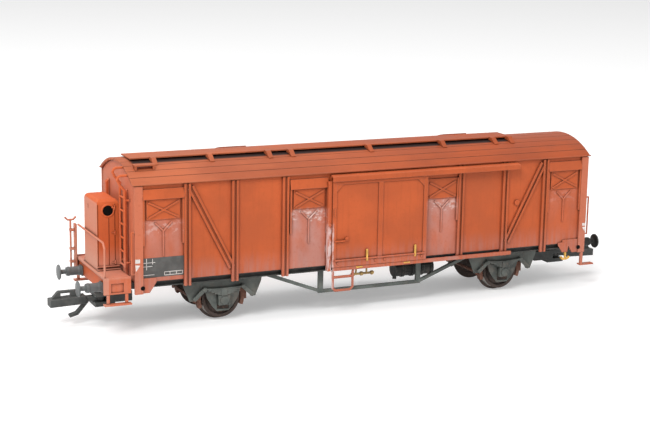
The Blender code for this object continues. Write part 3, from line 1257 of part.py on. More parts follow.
def make_walkway(material):
    """Plank along the ridge on splayed brackets, whose feet rest on the roof."""
    low = (-WALKWAY_CAB_END, -WALKWAY_HALF_WIDTH, WALKWAY_TOP - WALKWAY_THICKNESS)
    pieces = [block(low, (WALKWAY_PLAIN_END, WALKWAY_HALF_WIDTH, WALKWAY_TOP))]
    under = WALKWAY_TOP - WALKWAY_THICKNESS + OVERRUN
    thick = WALKWAY_BRACKET_THICKNESS
    for share in WALKWAY_BRACKET_SHARES:
        x = share * HALF_BODY
        for side in (-1, 1):
            start = WALKWAY_HALF_WIDTH - thick
            toe = WALKWAY_FOOT + 2 * thick
            heel_low, toe_low = roof_height(WALKWAY_FOOT) + SEAT_GAP, roof_height(toe) + SEAT_GAP
            outline = [(side * start, under), (side * WALKWAY_FOOT, heel_low), (side * toe, toe_low)]
            outline += [(side * toe, toe_low + thick), (side * (WALKWAY_FOOT + thick), heel_low + thick)]
            outline.append((side * (start + thick), under))
            half = WALKWAY_BRACKET_WIDTH / 2
            pieces.append(prism([outline], x - half, x + half, "X"))
    return fuse("roof_walkway", material, pieces)


def cover_mesh():
    """Low hatch cover beside the walkway on the far slope, bent to the roof's arch."""
    start = COVER_MIDDLE - COVER_WIDTH / 2
    end = COVER_MIDDLE + COVER_WIDTH / 2
    base = roof_arc(-SEAT_GAP, start, end, ROOF_BOARD_STEPS)
    top = roof_arc(-COVER_THICKNESS, start, end, ROOF_BOARD_STEPS)
    return moulded([prism([base + top[::-1]], -COVER_LENGTH / 2, COVER_LENGTH / 2, "X")])


def make_step_board(material):
    """Step board beside the ladder's hooks, level on two feet."""
    x = -HALF_BODY * STEP_BOARD_STATION_SHARE
    half = STEP_BOARD_LENGTH / 2
    outer = STEP_BOARD_SIDE + STEP_BOARD_WIDTH / 2
    inner = STEP_BOARD_SIDE - STEP_BOARD_WIDTH / 2
    low = roof_height(inner) + STEP_BOARD_THICKNESS
    pieces = [block((x - half, -outer, low), (x + half, -inner, low + STEP_BOARD_THICKNESS))]
    foot = STEP_BOARD_THICKNESS
    for side in (-1, 1):
        end = x + side * (half - foot)
        outline = [(-outer, low + OVERRUN), (-outer, roof_height(outer) + SEAT_GAP)]
        outline += [(-inner, roof_height(inner) + SEAT_GAP), (-inner, low + OVERRUN)]
        pieces.append(prism([outline], end - foot / 2, end + foot / 2, "X"))
    return fuse("roof_step_board", material, pieces)


def ring(radius, steps):
    """Points of a circle."""
    turn = 2 * math.pi / steps
    return [(radius * math.cos(i * turn), radius * math.sin(i * turn)) for i in range(steps)]


def make_body(paints):
    make_roof(paints["roof"])
    make_walkway(paints["roof"])
    make_step_board(paints["roof"])
    cover = cover_mesh()
    for end, side in (("cab", -1), ("plain", 1)):
        stamp(f"roof_cover_{end}", cover, paints["roof"], side * HALF_BODY * COVER_STATION_SHARE)
    both_sides("side_wall", side_wall_mesh(), paints["body"])
    make_end_wall("end_wall_cab", -1, paints["body"])
    make_end_wall("end_wall_plain", 1, paints["body"])
    both_sides("door_top_rail", top_rail_mesh(), paints["body"])
    both_sides("door_lower_rail", lower_rail_mesh(), paints["body"])
    door = door_mesh()
    stamp("door_near", door, paints["body"], DOOR_CENTRE)
    stamp("door_far", door, paints["body"], -DOOR_CENTRE, turn=math.pi)


def make_cab_end(paints):
    make_platform(paints["body"])
    make_booth(paints["body"])
    make_railing(paints["body"])
    make_brake_stand(paints["body"])
    make_ladder(paints["body"])
    step = platform_step_mesh()
    stamp("platform_step_near", step, paints["body"])
    stamp("platform_step_far", step, paints["body"], mirror=(1, -1))


def make_underside(paints):
    make_underframe(paints["frame"])
    both_sides("truss", truss_mesh(), paints["frame"])
    at_each_wheel("axle_guard", guard_mesh(), paints["frame"])
    at_each_wheel("spring", spring_mesh(), paints["frame"])
    at_each_wheel("axle_box", axle_box_mesh(), paints["frame"])
    wheelset = wheelset_mesh()
    brake = brake_mesh()
    for end, side in (("cab", -1), ("plain", 1)):
        station = side * WHEELBASE / 2
        stamp(f"wheelset_{end}", wheelset, paints["wheel"], station, WHEEL_RADIUS)
        stamp(f"brake_{end}_outer", brake, paints["rust"], station, mirror=(-side, 1))
        stamp(f"brake_{end}_inner", brake, paints["rust"], station, mirror=(side, 1))
    make_air_cylinder(paints["frame"])
    make_changeover(paints["brass"])
    both_sides("door_step", door_step_mesh(), paints["body"])
    both_sides("rope_hook", rope_hook_mesh(), paints["yellow"])
    shunter = shunter_step_mesh()
    stamp("shunter_step_near", shunter, paints["body"])
    stamp("shunter_step_far", shunter, paints["body"], mirror=(1, -1))


def make_ends(paints):
    buffer = buffer_mesh()
    box = coupler_box_mesh()
    head = coupler_head_mesh()
    ends = (("cab", -CAB_HEADSTOCK, math.pi), ("plain", PLAIN_HEADSTOCK, 0))
    for end, face, turn in ends:
        outwards = math.copysign(1, face)
        pivot = face - outwards * COUPLER_PIVOT_INSET
        stamp(f"coupler_box_{end}", box, paints["frame"], pivot, turn=turn)
        stamp(f"coupler_{end}", head, paints["frame"], pivot, turn=turn)
        for side, across in (("near", -1), ("far", 1)):
            placed = stamp(f"buffer_{end}_{side}", buffer, paints["buffer"], face, BUFFER_HEIGHT, turn=turn)
            placed.location.y = across * BUFFER_SIDE


def main():
    clear_scene()
    make_collections()
    paints = {
        "body": paint("body_paint", (0.36, 0.085, 0.035), 0.55),
        "roof": paint("roof_paint", (0.38, 0.10, 0.05), 0.6),
        "frame": paint("frame_paint", (0.05, 0.06, 0.06), 0.6),
        "wheel": paint("wheel_steel", (0.06, 0.05, 0.045), 0.45, 0.7),
        "rust": paint("brake_rust", (0.16, 0.07, 0.05), 0.8),
        "brass": paint("knob_brass", (0.42, 0.28, 0.07), 0.35, 0.8),
        "yellow": paint("hook_yellow", (0.75, 0.42, 0.05), 0.5),
        "buffer": paint("buffer_grey", (0.10, 0.11, 0.11), 0.5),
    }
    make_body(paints)
    make_cab_end(paints)
    make_underside(paints)
    make_ends(paints)


main()
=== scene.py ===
"""Finishes and fittings of a covered goods wagon, a 1:120 model with a booth on its end platform.

Places are in metres from the middle of the wheelbase and from the top of the rails, as the solids were
drawn. The near side is -Y, the booth stands at the -X end. The far side repeats the near one, turned
half round.
"""

import math

import bmesh
import bpy
from mathutils import Matrix, Vector


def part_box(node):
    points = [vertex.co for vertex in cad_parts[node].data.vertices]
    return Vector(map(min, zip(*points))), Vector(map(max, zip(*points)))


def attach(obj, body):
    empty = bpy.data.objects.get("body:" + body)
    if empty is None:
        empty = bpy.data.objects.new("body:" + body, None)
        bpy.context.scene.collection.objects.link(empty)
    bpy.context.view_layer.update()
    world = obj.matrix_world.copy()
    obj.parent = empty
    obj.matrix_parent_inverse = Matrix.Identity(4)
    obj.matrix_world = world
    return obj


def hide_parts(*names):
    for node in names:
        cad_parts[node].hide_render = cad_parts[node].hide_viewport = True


bl_info = {
    "name": "Covered goods wagon",
    "version": (1, 0, 0),
    "blender": (4, 5, 0),
    "location": "3D View > Sidebar > Wagon",
    "description": "Paints and details a model railway covered goods wagon",
    "category": "Object",
}

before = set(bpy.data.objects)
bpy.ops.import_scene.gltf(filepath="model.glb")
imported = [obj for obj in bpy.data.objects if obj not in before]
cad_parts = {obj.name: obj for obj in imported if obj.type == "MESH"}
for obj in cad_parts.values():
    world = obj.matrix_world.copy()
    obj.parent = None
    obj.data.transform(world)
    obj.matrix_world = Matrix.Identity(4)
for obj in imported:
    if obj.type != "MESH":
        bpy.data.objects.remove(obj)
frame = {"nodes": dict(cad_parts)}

CAB_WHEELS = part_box("wheelset_cab")
PLAIN_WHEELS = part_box("wheelset_plain")
MIDDLE = (PLAIN_WHEELS[0].x + CAB_WHEELS[1].x) / 2
# The flanges reach this far below the top of the rails
FLANGE = 0.0006
ORIGIN = Vector((MIDDLE, 0, FLANGE))
AXLE = (CAB_WHEELS[0].z + CAB_WHEELS[1].z) / 2 - FLANGE
WHEELBASE_HALF = (PLAIN_WHEELS[0].x - CAB_WHEELS[0].x) / 2
WHEELSETS = (("cab", -WHEELBASE_HALF), ("plain", WHEELBASE_HALF))
SIDES = (("near", -1), ("far", 1))
BODY_HALF = 0.052875
PANEL_FACE = 0.01083
POST_FACE = 0.01133
# Middle of each bay that has a ventilation hatch, and how dusty it is
BAYS = ((-0.04695, 0.42), (-0.01533, 0.85), (0.01596, 0.66), (0.04695, 0.14))
# Depth of the paint's grain
RELIEF = 0.000012
COLOUR = {"subtype": "COLOR", "size": 3, "min": 0, "max": 1}


class WagonColours(bpy.types.PropertyGroup):
    """Paints of the wagon."""

    body: bpy.props.FloatVectorProperty(
        name="Body", description="Red-brown paint of the body and its fittings",
        default=(0.50, 0.097, 0.026), **COLOUR)
    roof: bpy.props.FloatVectorProperty(
        name="Roof", description="Paint of the roof, dulled by the sun",
        default=(0.345, 0.062, 0.015), **COLOUR)
    dust: bpy.props.FloatVectorProperty(
        name="Dust", description="Pale dust that settles on upright faces",
        default=(0.50, 0.34, 0.32), **COLOUR)
    frame: bpy.props.FloatVectorProperty(
        name="Frame", description="Dark plastic of the underframe",
        default=(0.020, 0.021, 0.020), **COLOUR)
    marking: bpy.props.FloatVectorProperty(
        name="Bare panels", description="Dark paint of the bare panels at the wall's foot",
        default=(0.100, 0.098, 0.093), **COLOUR)
    grip: bpy.props.FloatVectorProperty(
        name="Grips", description="Yellow paint of the hand grips and rope hooks",
        default=(0.80, 0.46, 0.10), **COLOUR)
    wheel: bpy.props.FloatVectorProperty(
        name="Wheels", description="Browned steel of the wheels and axles",
        default=(0.062, 0.046, 0.040), **COLOUR)


class WagonSizes(bpy.types.PropertyGroup):
    """Sizes of the small fittings."""

    edge: bpy.props.FloatProperty(
        name="Rounded edge", description="Width of the softened edge on small moulded pieces",
        unit="LENGTH", min=0, default=0.00004)
    rivet: bpy.props.FloatProperty(
        name="Rivet", description="Radius of a rivet head",
        unit="LENGTH", min=0.00005, default=0.00016)
    leaves: bpy.props.IntProperty(
        name="Spring leaves", description="How many leaves lie in each spring", min=1, max=8, default=5)


class Shape:
    """Collects the solids of one piece, in metres from the middle of the wheelbase at rail height."""

    def __init__(self):
        self.cage = bmesh.new()

    def block(self, low, high):
        """A box between two corners, in any order."""
        corners = [(min(a, b), max(a, b)) for a, b in zip(low, high)]
        verts = [self.cage.verts.new((x, y, z)) for z in corners[2] for y in corners[1] for x in corners[0]]
        for face in ((0, 2, 3, 1), (4, 5, 7, 6), (0, 1, 5, 4), (2, 6, 7, 3), (0, 4, 6, 2), (1, 3, 7, 5)):
            self.cage.faces.new([verts[i] for i in face])

    def sweep(self, outline, start, end, axis):
        """A flat outline, given in the two other axes in turn, swept along X, Y or Z."""
        order = {"X": (2, 0, 1), "Y": (0, 2, 1), "Z": (0, 1, 2)}[axis]
        rings = []
        for along in (start, end):
            ring = []
            for u, v in outline:
                place = (u, v, along)
                ring.append(self.cage.verts.new([place[i] for i in order]))
            rings.append(ring)
        count = len(outline)
        self.cage.faces.new(rings[0])
        self.cage.faces.new(rings[1][::-1])
        for i in range(count):
            j = (i + 1) % count
            self.cage.faces.new((rings[0][j], rings[0][i], rings[1][i], rings[1][j]))

    def tube(self, points, radius, steps=8):
        """A bent wire through the points, with mitred bends and closed ends."""
        points = [Vector(p) for p in points]
        rings = []
        up = Vector((0, 0, 1)) if abs((points[1] - points[0]).normalized().z) < 0.9 else Vector((0, 1, 0))
        for i, point in enumerate(points):
            before = (point - points[i - 1]).normalized() if i else (points[1] - point).normalized()
            after = (points[i + 1] - point).normalized() if i < len(points) - 1 else before
            run = (before + after).normalized()
            side = run.cross(up).normalized()
            up = side.cross(run).normalized()
            widen = 1 / max(0.5, run.dot(before))
            turn = before - after
            stretch = turn.normalized() if turn.length > 0.001 else side
            ring = []
            for step in range(steps):
                angle = 2 * math.pi * step / steps
                spoke = (side * math.cos(angle) + up * math.sin(angle)) * radius
                spoke += stretch * spoke.dot(stretch) * (widen - 1)
                ring.append(self.cage.verts.new(point + spoke))
            rings.append(ring)
        for first, second in zip(rings, rings[1:]):
            for i in range(steps):
                j = (i + 1) % steps
                self.cage.faces.new((first[i], first[j], second[j], second[i]))
        self.cage.faces.new(rings[0][::-1])
        self.cage.faces.new(rings[-1])

    def lathe(self, profile, centre, axis, steps=24, out=1):
        """A turned form: the profile holds (radius, distance along the axis, in the direction of out) pairs."""
        centre = Vector(centre)
        spokes = {"X": ((0, 1, 0), (0, 0, 1)), "Y": ((0, 0, 1), (1, 0, 0)), "Z": ((1, 0, 0), (0, 1, 0))}[axis]
        u, v = (Vector(s) for s in spokes)
        along = u.cross(v)
        rings = []
        for radius, reach in profile:
            middle = centre + along * reach * out
            if radius < 1e-7:
                rings.append([self.cage.verts.new(middle)])
                continue
            ring = []
            for step in range(steps):
                angle = 2 * math.pi * step / steps
                ring.append(self.cage.verts.new(middle + (u * math.cos(angle) + v * math.sin(angle)) * radius))
            rings.append(ring)
        for first, second in zip(rings, rings[1:]):
            for i in range(steps):
                j = (i + 1) % steps
                corners = [first[i % len(first)], first[j % len(first)], second[j % len(second)],
                           second[i % len(second)]]
                kept = [c for k, c in enumerate(corners) if c not in corners[:k]]
                if len(kept) > 2:
                    self.cage.faces.new(kept)

    def rivet(self, place, axis, out, radius=None):
        """A low domed head on a face, standing out along the axis in the direction of out."""
        radius = radius or bpy.context.scene.wagon_sizes.rivet
        self.lathe([(radius, 0), (radius * 0.8, radius * 0.4), (0, radius * 0.6)], place, axis, 8, out)

    def place(self, name, finish, body, replaces=(), slot=None, soft=False, smooth=40, both=False):
        """Makes the piece, lets it ride on its body and returns it. With both, it is repeated turned half round."""
        bmesh.ops.recalc_face_normals(self.cage, faces=self.cage.faces)
        mesh = bpy.data.meshes.new(name)
        self.cage.to_mesh(mesh)
        self.cage.free()
        mesh.materials.append(finishes()[finish])
        mesh.shade_smooth()
        mesh.set_sharp_from_angle(angle=math.radians(smooth))
        far = mesh.copy() if both else None
        piece = set_down(name, mesh, Matrix.Translation(ORIGIN), body, replaces, soft)
        if both:
            turn = Matrix.Translation(ORIGIN) @ Matrix.Rotation(math.pi, 4, "Z")
            other = body.replace("near", "far")
            hidden = [n.replace("near", "far") for n in replaces]
            set_down(name.replace("near", "far"), far, turn, other, hidden, soft)
        return piece


def set_down(name, mesh, matrix, body, replaces, soft):
    """One piece in the frame's own place. Where soft is true, its edges are rounded."""
    mesh.transform(matrix)
    mesh.name = name
    obj = bpy.data.objects.new(name, mesh)
    bpy.context.scene.collection.objects.link(obj)
    if soft:
        soften = obj.modifiers.new("soften", "BEVEL")
        soften.width = bpy.context.scene.wagon_sizes.edge
        soften.segments = 2
        soften.limit_method = "ANGLE"
        soften.angle_limit = math.radians(35)
        soften.harden_normals = True
    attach(obj, body)
    if replaces:
        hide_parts(*replaces)
    return obj


class Finish:
    """Builds the nodes of one procedural material."""

    def __init__(self, name):
        self.material = bpy.data.materials.new(name)
        self.material.use_nodes = True
        self.tree = self.material.node_tree
        self.shader = self.tree.nodes["Principled BSDF"]
        self.place = self.add("ShaderNodeTexCoord").outputs["Object"]

    def add(self, kind, links=None, **settings):
        node = self.tree.nodes.new(kind)
        for key, value in settings.items():
            setattr(node, key, value)
        for key, value in (links or {}).items():
            self.put(node.inputs[key], value)
        return node

    def put(self, socket, value):
        if isinstance(value, bpy.types.NodeSocket):
            self.tree.links.new(value, socket)
        else:
            socket.default_value = value

    def math(self, operation, first, second=0.0):
        return self.add("ShaderNodeMath", {0: first, 1: second}, operation=operation).outputs[0]

    def times(self, first, *others):
        """The product of two or more values."""
        for other in others:
            first = self.math("MULTIPLY", first, other)
        return first

    def ramp(self, value, low, high, start=0.0, end=1.0):
        """Maps a value from one range to another, eased at both ends."""
        node = self.add("ShaderNodeMapRange", interpolation_type="SMOOTHSTEP")
        for key, number in zip(("From Min", "From Max", "To Min", "To Max"), (low, high, start, end)):
            node.inputs[key].default_value = number
        self.put(node.inputs["Value"], value)
        return node.outputs["Result"]

    def blend(self, factor, first, second):
        """Mixes two colours, each a socket or three numbers."""
        node = self.add("ShaderNodeMix", data_type="RGBA", clamp_factor=True)
        for index, value in ((0, factor), (6, first), (7, second)):
            if isinstance(value, (tuple, list)):
                value = (*value[:3], 1.0)
            self.put(node.inputs[index], value)
        return node.outputs[2]

    def noise(self, scale, detail=4.0, rough=0.55, stretch=(1, 1, 1)):
        """Cloudy variation. A higher stretch means finer detail along that axis."""
        moved = self.add("ShaderNodeMapping", {"Vector": self.place})
        moved.inputs["Scale"].default_value = stretch
        node = self.add("ShaderNodeTexNoise", {"Vector": moved.outputs[0]})
        node.inputs["Scale"].default_value = scale
        node.inputs["Detail"].default_value = detail
        node.inputs["Roughness"].default_value = rough
        return node.outputs["Fac"]

    def axes(self):
        """The point's X, Y and Z from the middle of the wheelbase at rail height."""
        moved = self.add("ShaderNodeVectorMath", {0: self.place, 1: ORIGIN}, operation="SUBTRACT")
        split = self.add("ShaderNodeSeparateXYZ", {0: moved.outputs[0]})
        return split.outputs[0], split.outputs[1], split.outputs[2]

    def near_x(self):
        """Distance along the wall from the wheelbase's middle, as read on the near side of either wall."""
        x, y, _ = self.axes()
        return self.times(x, self.math("SIGN", y), -1.0)

    def band(self, value, middle, half, soft):
        """One inside a band round the middle, falling to nothing past its edges."""
        away = self.math("ABSOLUTE", self.math("SUBTRACT", value, middle))
        return self.ramp(away, half - soft, half + soft, 1.0, 0.0)

    def wash_and_shade(self, reach):
        """One in corners and gaps, nothing on open faces: the mask for dark wash and painted shade."""
        nearby = self.add("ShaderNodeAmbientOcclusion", samples=8)
        nearby.inputs["Distance"].default_value = reach
        return self.ramp(nearby.outputs["AO"], 0.35, 0.95, 1.0, 0.0)

    def edges(self, width):
        """One along sharp edges, where paint wears and brushes catch and where a painted highlight is laid, and the
        softened normal.
        """
        soft = self.add("ShaderNodeBevel", samples=6)
        soft.inputs["Radius"].default_value = width
        flat = self.add("ShaderNodeNewGeometry").outputs["Normal"]
        match = self.add("ShaderNodeVectorMath", {0: soft.outputs[0], 1: flat}, operation="DOT_PRODUCT")
        return self.ramp(match.outputs["Value"], 0.90, 0.995, 1.0, 0.0), soft.outputs[0]

    def close(self, colour, rough, bump, depth, normal=None, gloss=0.3):
        """Sets the surface's colour, roughness, relief and gloss."""
        self.shader.inputs["Specular IOR Level"].default_value = gloss
        relief = self.add("ShaderNodeBump", {"Height": bump})
        relief.inputs["Distance"].default_value = depth
        relief.inputs["Strength"].default_value = 0.6
        if normal is not None:
            self.put(relief.inputs["Normal"], normal)
        for label, value in (("Base Color", colour), ("Roughness", rough), ("Normal", relief.outputs[0])):
            self.put(self.shader.inputs[label], value)
        return self.material


def shade(colour, share):
    """The colour made darker or lighter by a share."""
    return tuple(min(1.0, c * share) for c in colour)


def body_paint(name, colours):
    """Red-brown body paint: mottled, streaked, darkened in the joints as dark wash and painted shade, lighter on its
    edges as paint wear and painted highlight, and dusty below the hatches.
    """
    make = Finish(name)
    body, dust = tuple(colours.body), tuple(colours.dust)
    x, y, z = make.axes()
    along = make.near_x()
    skin = make.ramp(make.math("ABSOLUTE", y), 0.0103, 0.0106)
    clouds = make.noise(95, 5)
    streaks = make.noise(60, 4, 0.6, (22, 22, 1.6))
    grain = make.noise(1700, 3)
    colour = make.blend(make.ramp(clouds, 0.35, 0.68), shade(body, 0.90), shade(body, 1.10))
    colour = make.blend(make.times(make.ramp(streaks, 0.5, 0.75), 0.30), colour, shade(body, 0.70))
    low = make.times(make.ramp(z, 0.0100, 0.0150, 0.34, 0.0), make.ramp(streaks, 0.3, 0.7, 0.25, 1.0))
    colour = make.blend(low, colour, shade(dust, 0.8))

    # Dust that has run down from the four hatches, with pale spots just below their hoods
    bays = None
    for centre, amount in BAYS:
        bay = make.times(make.band(along, centre, 0.0038, 0.0010), amount)
        bays = bay if bays is None else make.math("MAXIMUM", bays, bay)
    bays = make.times(bays, skin)
    fall = make.times(make.ramp(z, 0.0220, 0.0227, 1.0, 0.0), make.ramp(z, 0.0105, 0.0205, 0.45, 0.9))
    patchy = make.ramp(make.noise(190, 4, 0.6, (1, 1, 0.6)), 0.30, 0.66, 0.35, 0.95)
    colour = make.blend(make.times(bays, fall, patchy), colour, dust)
    bright = make.times(bays, make.band(z, 0.0208, 0.0013, 0.0009))
    spots = make.ramp(make.noise(700, 5, 0.65, (1, 1, 1.6)), 0.50, 0.63)
    colour = make.blend(make.times(bright, make.times(spots, 0.7)), colour, (0.78, 0.66, 0.62))

    # Chalky scrapes on the post beside the doorway
    post = make.times(make.band(along, -0.0108, 0.0007, 0.0002), make.ramp(z, 0.0165, 0.0205, 1.0, 0.0), skin)
    chalk = make.ramp(make.noise(900, 4, 0.6, (1, 1, 0.35)), 0.42, 0.56, 0.0, 0.8)
    colour = make.blend(make.times(post, chalk), colour, (0.72, 0.58, 0.56))

    # The cab end: painted lighter as painted light, dusty at its foot, its booth's front face painted paler as a
    # painted highlight, and a painted shadow on the end wall behind the ladder
    end = make.ramp(x, -0.0537, -0.0533, 1.0, 0.0)
    # Painted light: everything at the cab end is painted lighter
    colour = make.blend(make.times(end, 0.4), colour, shade(body, 1.4))
    foot = make.times(end, make.ramp(z, 0.0110, 0.0170, 0.50, 0.0), make.ramp(z, 0.0108, 0.0113, 0.2, 1.0))
    colour = make.blend(make.times(foot, make.ramp(clouds, 0.3, 0.6, 0.4, 1.0)), colour, (0.62, 0.36, 0.27))
    # Painted highlight: the booth's front face is painted paler
    colour = make.blend(make.ramp(x, -0.05834, -0.05826, 0.42, 0.0), colour, (0.60, 0.34, 0.26))
    # Painted shadow on the end wall behind the ladder, beside the booth
    behind = make.times(make.ramp(x, -0.05330, -0.05315, 0.0, 0.75), make.band(y, -0.0034, 0.0018, 0.0004),
                        make.ramp(x, -0.0526, -0.0524, 1.0, 0.0), make.ramp(z, 0.0265, 0.0290, 1.0, 0.0))
    colour = make.blend(behind, colour, shade(body, 0.10))
    distance = make.math("ABSOLUTE", x)
    corner = make.times(make.ramp(distance, 0.0512, 0.0514, 0.0, 0.28), make.ramp(distance, 0.0531, 0.0533, 1.0, 0.0))
    colour = make.blend(corner, colour, (0.70, 0.30, 0.21))

    # Lighter edges: paint wear and a painted highlight
    worn_and_highlit, soft = make.edges(0.00014)
    colour = make.blend(make.times(worn_and_highlit, 0.42), colour, (0.66, 0.25, 0.15))
    # Dark wash and painted shade: darker in corners and gaps
    colour = make.blend(make.times(make.wash_and_shade(0.0006), 0.80), colour, shade(body, 0.10))
    colour = make.blend(make.times(make.ramp(grain, 0.55, 0.7), 0.18), colour, shade(body, 0.72))
    return make.close(colour, make.ramp(clouds, 0.3, 0.7, 0.52, 0.68), grain, RELIEF, soft)


def roof_paint(name, colours, sooty):
    """Roof paint with dull lengthwise streaks. The roof itself is painted black below its walkway, with soot and with
    the walkway's painted shadow.
    """
    make = Finish(name)
    roof = tuple(colours.roof)
    x, y, _ = make.axes()
    clouds = make.noise(70, 5, 0.6, (1, 2, 2))
    lengths = make.noise(60, 4, 0.6, (1.2, 26, 26))
    grain = make.noise(1700, 3)
    colour = make.blend(make.ramp(clouds, 0.35, 0.68), shade(roof, 0.88), shade(roof, 1.14))
    colour = make.blend(make.times(make.ramp(lengths, 0.45, 0.7), 0.35), colour, shade(roof, 0.76))
    # Paler towards the cab end, in patches
    paler_to_cab_end = make.times(make.ramp(x, -0.052, 0.030, 0.42, 0.05), make.ramp(clouds, 0.3, 0.6, 0.5, 1.0))
    colour = make.blend(paler_to_cab_end, colour, (0.58, 0.19, 0.09))
    # Lighter edges: paint wear and a painted highlight
    worn_and_highlit, soft = make.edges(0.00014)
    colour = make.blend(make.times(worn_and_highlit, 0.30), colour, (0.55, 0.22, 0.13))
    # Painted black below the walkway: soot, and the walkway's painted shadow
    if sooty:
        across = make.ramp(make.math("ABSOLUTE", y), 0.0040, 0.0049, 1.0, 0.0)
        span = make.times(make.ramp(x, -0.0518, -0.0508), make.ramp(x, 0.0368, 0.0378, 1.0, 0.0))
        colour = make.blend(make.times(across, span), colour, (0.010, 0.0013, 0.0005))
    # Dark wash and painted shade: darker in corners and gaps
    colour = make.blend(make.times(make.wash_and_shade(0.0004), 0.40), colour, shade(roof, 0.14))
    return make.close(colour, make.ramp(clouds, 0.3, 0.7, 0.55, 0.72), grain, RELIEF, soft)


def frame_plastic(name, base, dusty=0.5, red=None):
    """Grey moulded plastic, dry-brushed and given a painted highlight on its edges, with dark wash and painted shade
    in its corners. Where red is given, the cab end's headstock has that paint.
    """
    make = Finish(name)
    base = tuple(base)
    x, _, z = make.axes()
    clouds = make.noise(260, 5)
    grain = make.noise(2200, 3)
    mottle = make.ramp(clouds, 0.35, 0.68)
    colour = make.blend(mottle, shade(base, 0.7), shade(base, 1.35))
    settled = make.times(make.ramp(make.noise(420, 4, 0.6), 0.45, 0.7), dusty, make.ramp(z, 0.001, 0.010, 1.0, 0.35))
    colour = make.blend(settled, colour, (0.20, 0.165, 0.135))
    # Lighter edges: dry-brushing and a painted highlight
    worn_and_highlit, soft = make.edges(0.00016)
    colour = make.blend(make.times(worn_and_highlit, 0.40), colour, (0.27, 0.28, 0.26))
    if red:
        paint = make.blend(mottle, shade(red, 0.8), shade(red, 1.2))
        colour = make.blend(make.ramp(x, -0.05745, -0.05740, 1.0, 0.0), colour, paint)
    # Dark wash and painted shade: darker in corners and gaps
    colour = make.blend(make.times(make.wash_and_shade(0.0006), 0.6), colour, shade(base, 0.2))
    return make.close(colour, make.ramp(clouds, 0.3, 0.7, 0.45, 0.62), grain, RELIEF, soft)


def plain_paint(name, colour, rough, metallic, fleck, amount, gloss=0.3):
    """A small fitting's paint, with cloudy wear and an amount of fine flecks."""
    make = Finish(name)
    clouds = make.noise(600, 5)
    grain = make.noise(2600, 3)
    made = make.blend(make.ramp(clouds, 0.35, 0.68), shade(colour, 0.78), shade(colour, 1.18))
    made = make.blend(make.times(make.ramp(grain, 0.5, 0.68), amount), made, fleck)
    make.shader.inputs["Metallic"].default_value = metallic
    return make.close(made, make.ramp(clouds, 0.3, 0.7, rough - 0.08, rough + 0.10), grain, 0.00001, gloss=gloss)


def finishes():
    """Every finish used on the wagon, by the part it belongs to. Each is made once."""
    colours = bpy.context.scene.wagon_colours
    recipes = {
        "body": (body_paint, "weathered_body_paint", colours),
        "roof": (roof_paint, "sooty_roof_paint", colours, True),
        "roof_trim": (roof_paint, "roof_trim_paint", colours, False),
        "frame": (frame_plastic, "underframe_grey", colours.frame, 0.5, tuple(colours.body)),
        "truss": (frame_plastic, "truss_grey", (0.110, 0.126, 0.116), 0.3),
        "guard": (frame_plastic, "guard_grey", (0.098, 0.108, 0.098), 0.6),
        "coupler": (frame_plastic, "coupler_black", (0.055, 0.058, 0.056), 0.2),
        "wheel": (plain_paint, "browned_wheel", colours.wheel, 0.5, 0.4, (0.16, 0.09, 0.06), 0.5),
        "tread": (plain_paint, "bright_tread", (0.42, 0.40, 0.37), 0.3, 0.9, (0.2, 0.15, 0.1), 0.3),
        "rust": (plain_paint, "rusty_shoe", (0.20, 0.095, 0.065), 0.75, 0.0, (0.10, 0.04, 0.03), 0.5),
        "brass": (plain_paint, "valve_brass", (0.46, 0.31, 0.12), 0.45, 0.3, (0.14, 0.09, 0.05), 0.6),
        "grip": (plain_paint, "grip_yellow", colours.grip, 0.45, 0.0, (0.45, 0.20, 0.06), 0.3),
        "buffer": (frame_plastic, "buffer_grey", (0.105, 0.115, 0.108), 0.25),
        "buffer_dark": (frame_plastic, "buffer_black", (0.016, 0.016, 0.015), 0.1),
        "marking": (plain_paint, "marking_black", colours.marking, 0.6, 0.0, (0.10, 0.08, 0.07), 0.35),
        "white": (plain_paint, "marking_white", (0.80, 0.76, 0.72), 0.6, 0.0, (0.55, 0.30, 0.22), 0.3),
        "seam": (plain_paint, "seam_shadow", shade(colours.body, 0.26), 0.8, 0.0, shade(colours.body, 0.4), 0.3),
        # Near-black painted shade, for the booth's window discs and the gusset openings
        "dark": (plain_paint, "booth_dark", (0.0015, 0.0014, 0.0013), 0.6, 0.0, (0.004, 0.003, 0.003), 0.2, 0.1),
    }
    return {use: bpy.data.materials.get(name) or maker(name, *values)
            for use, (maker, name, *values) in recipes.items()}


def wear(finish, *nodes):
    """Gives the named solids one finish."""
    for name in nodes:
        mesh = frame["nodes"][name].data
        mesh.materials.clear()
        mesh.materials.append(finishes()[finish])


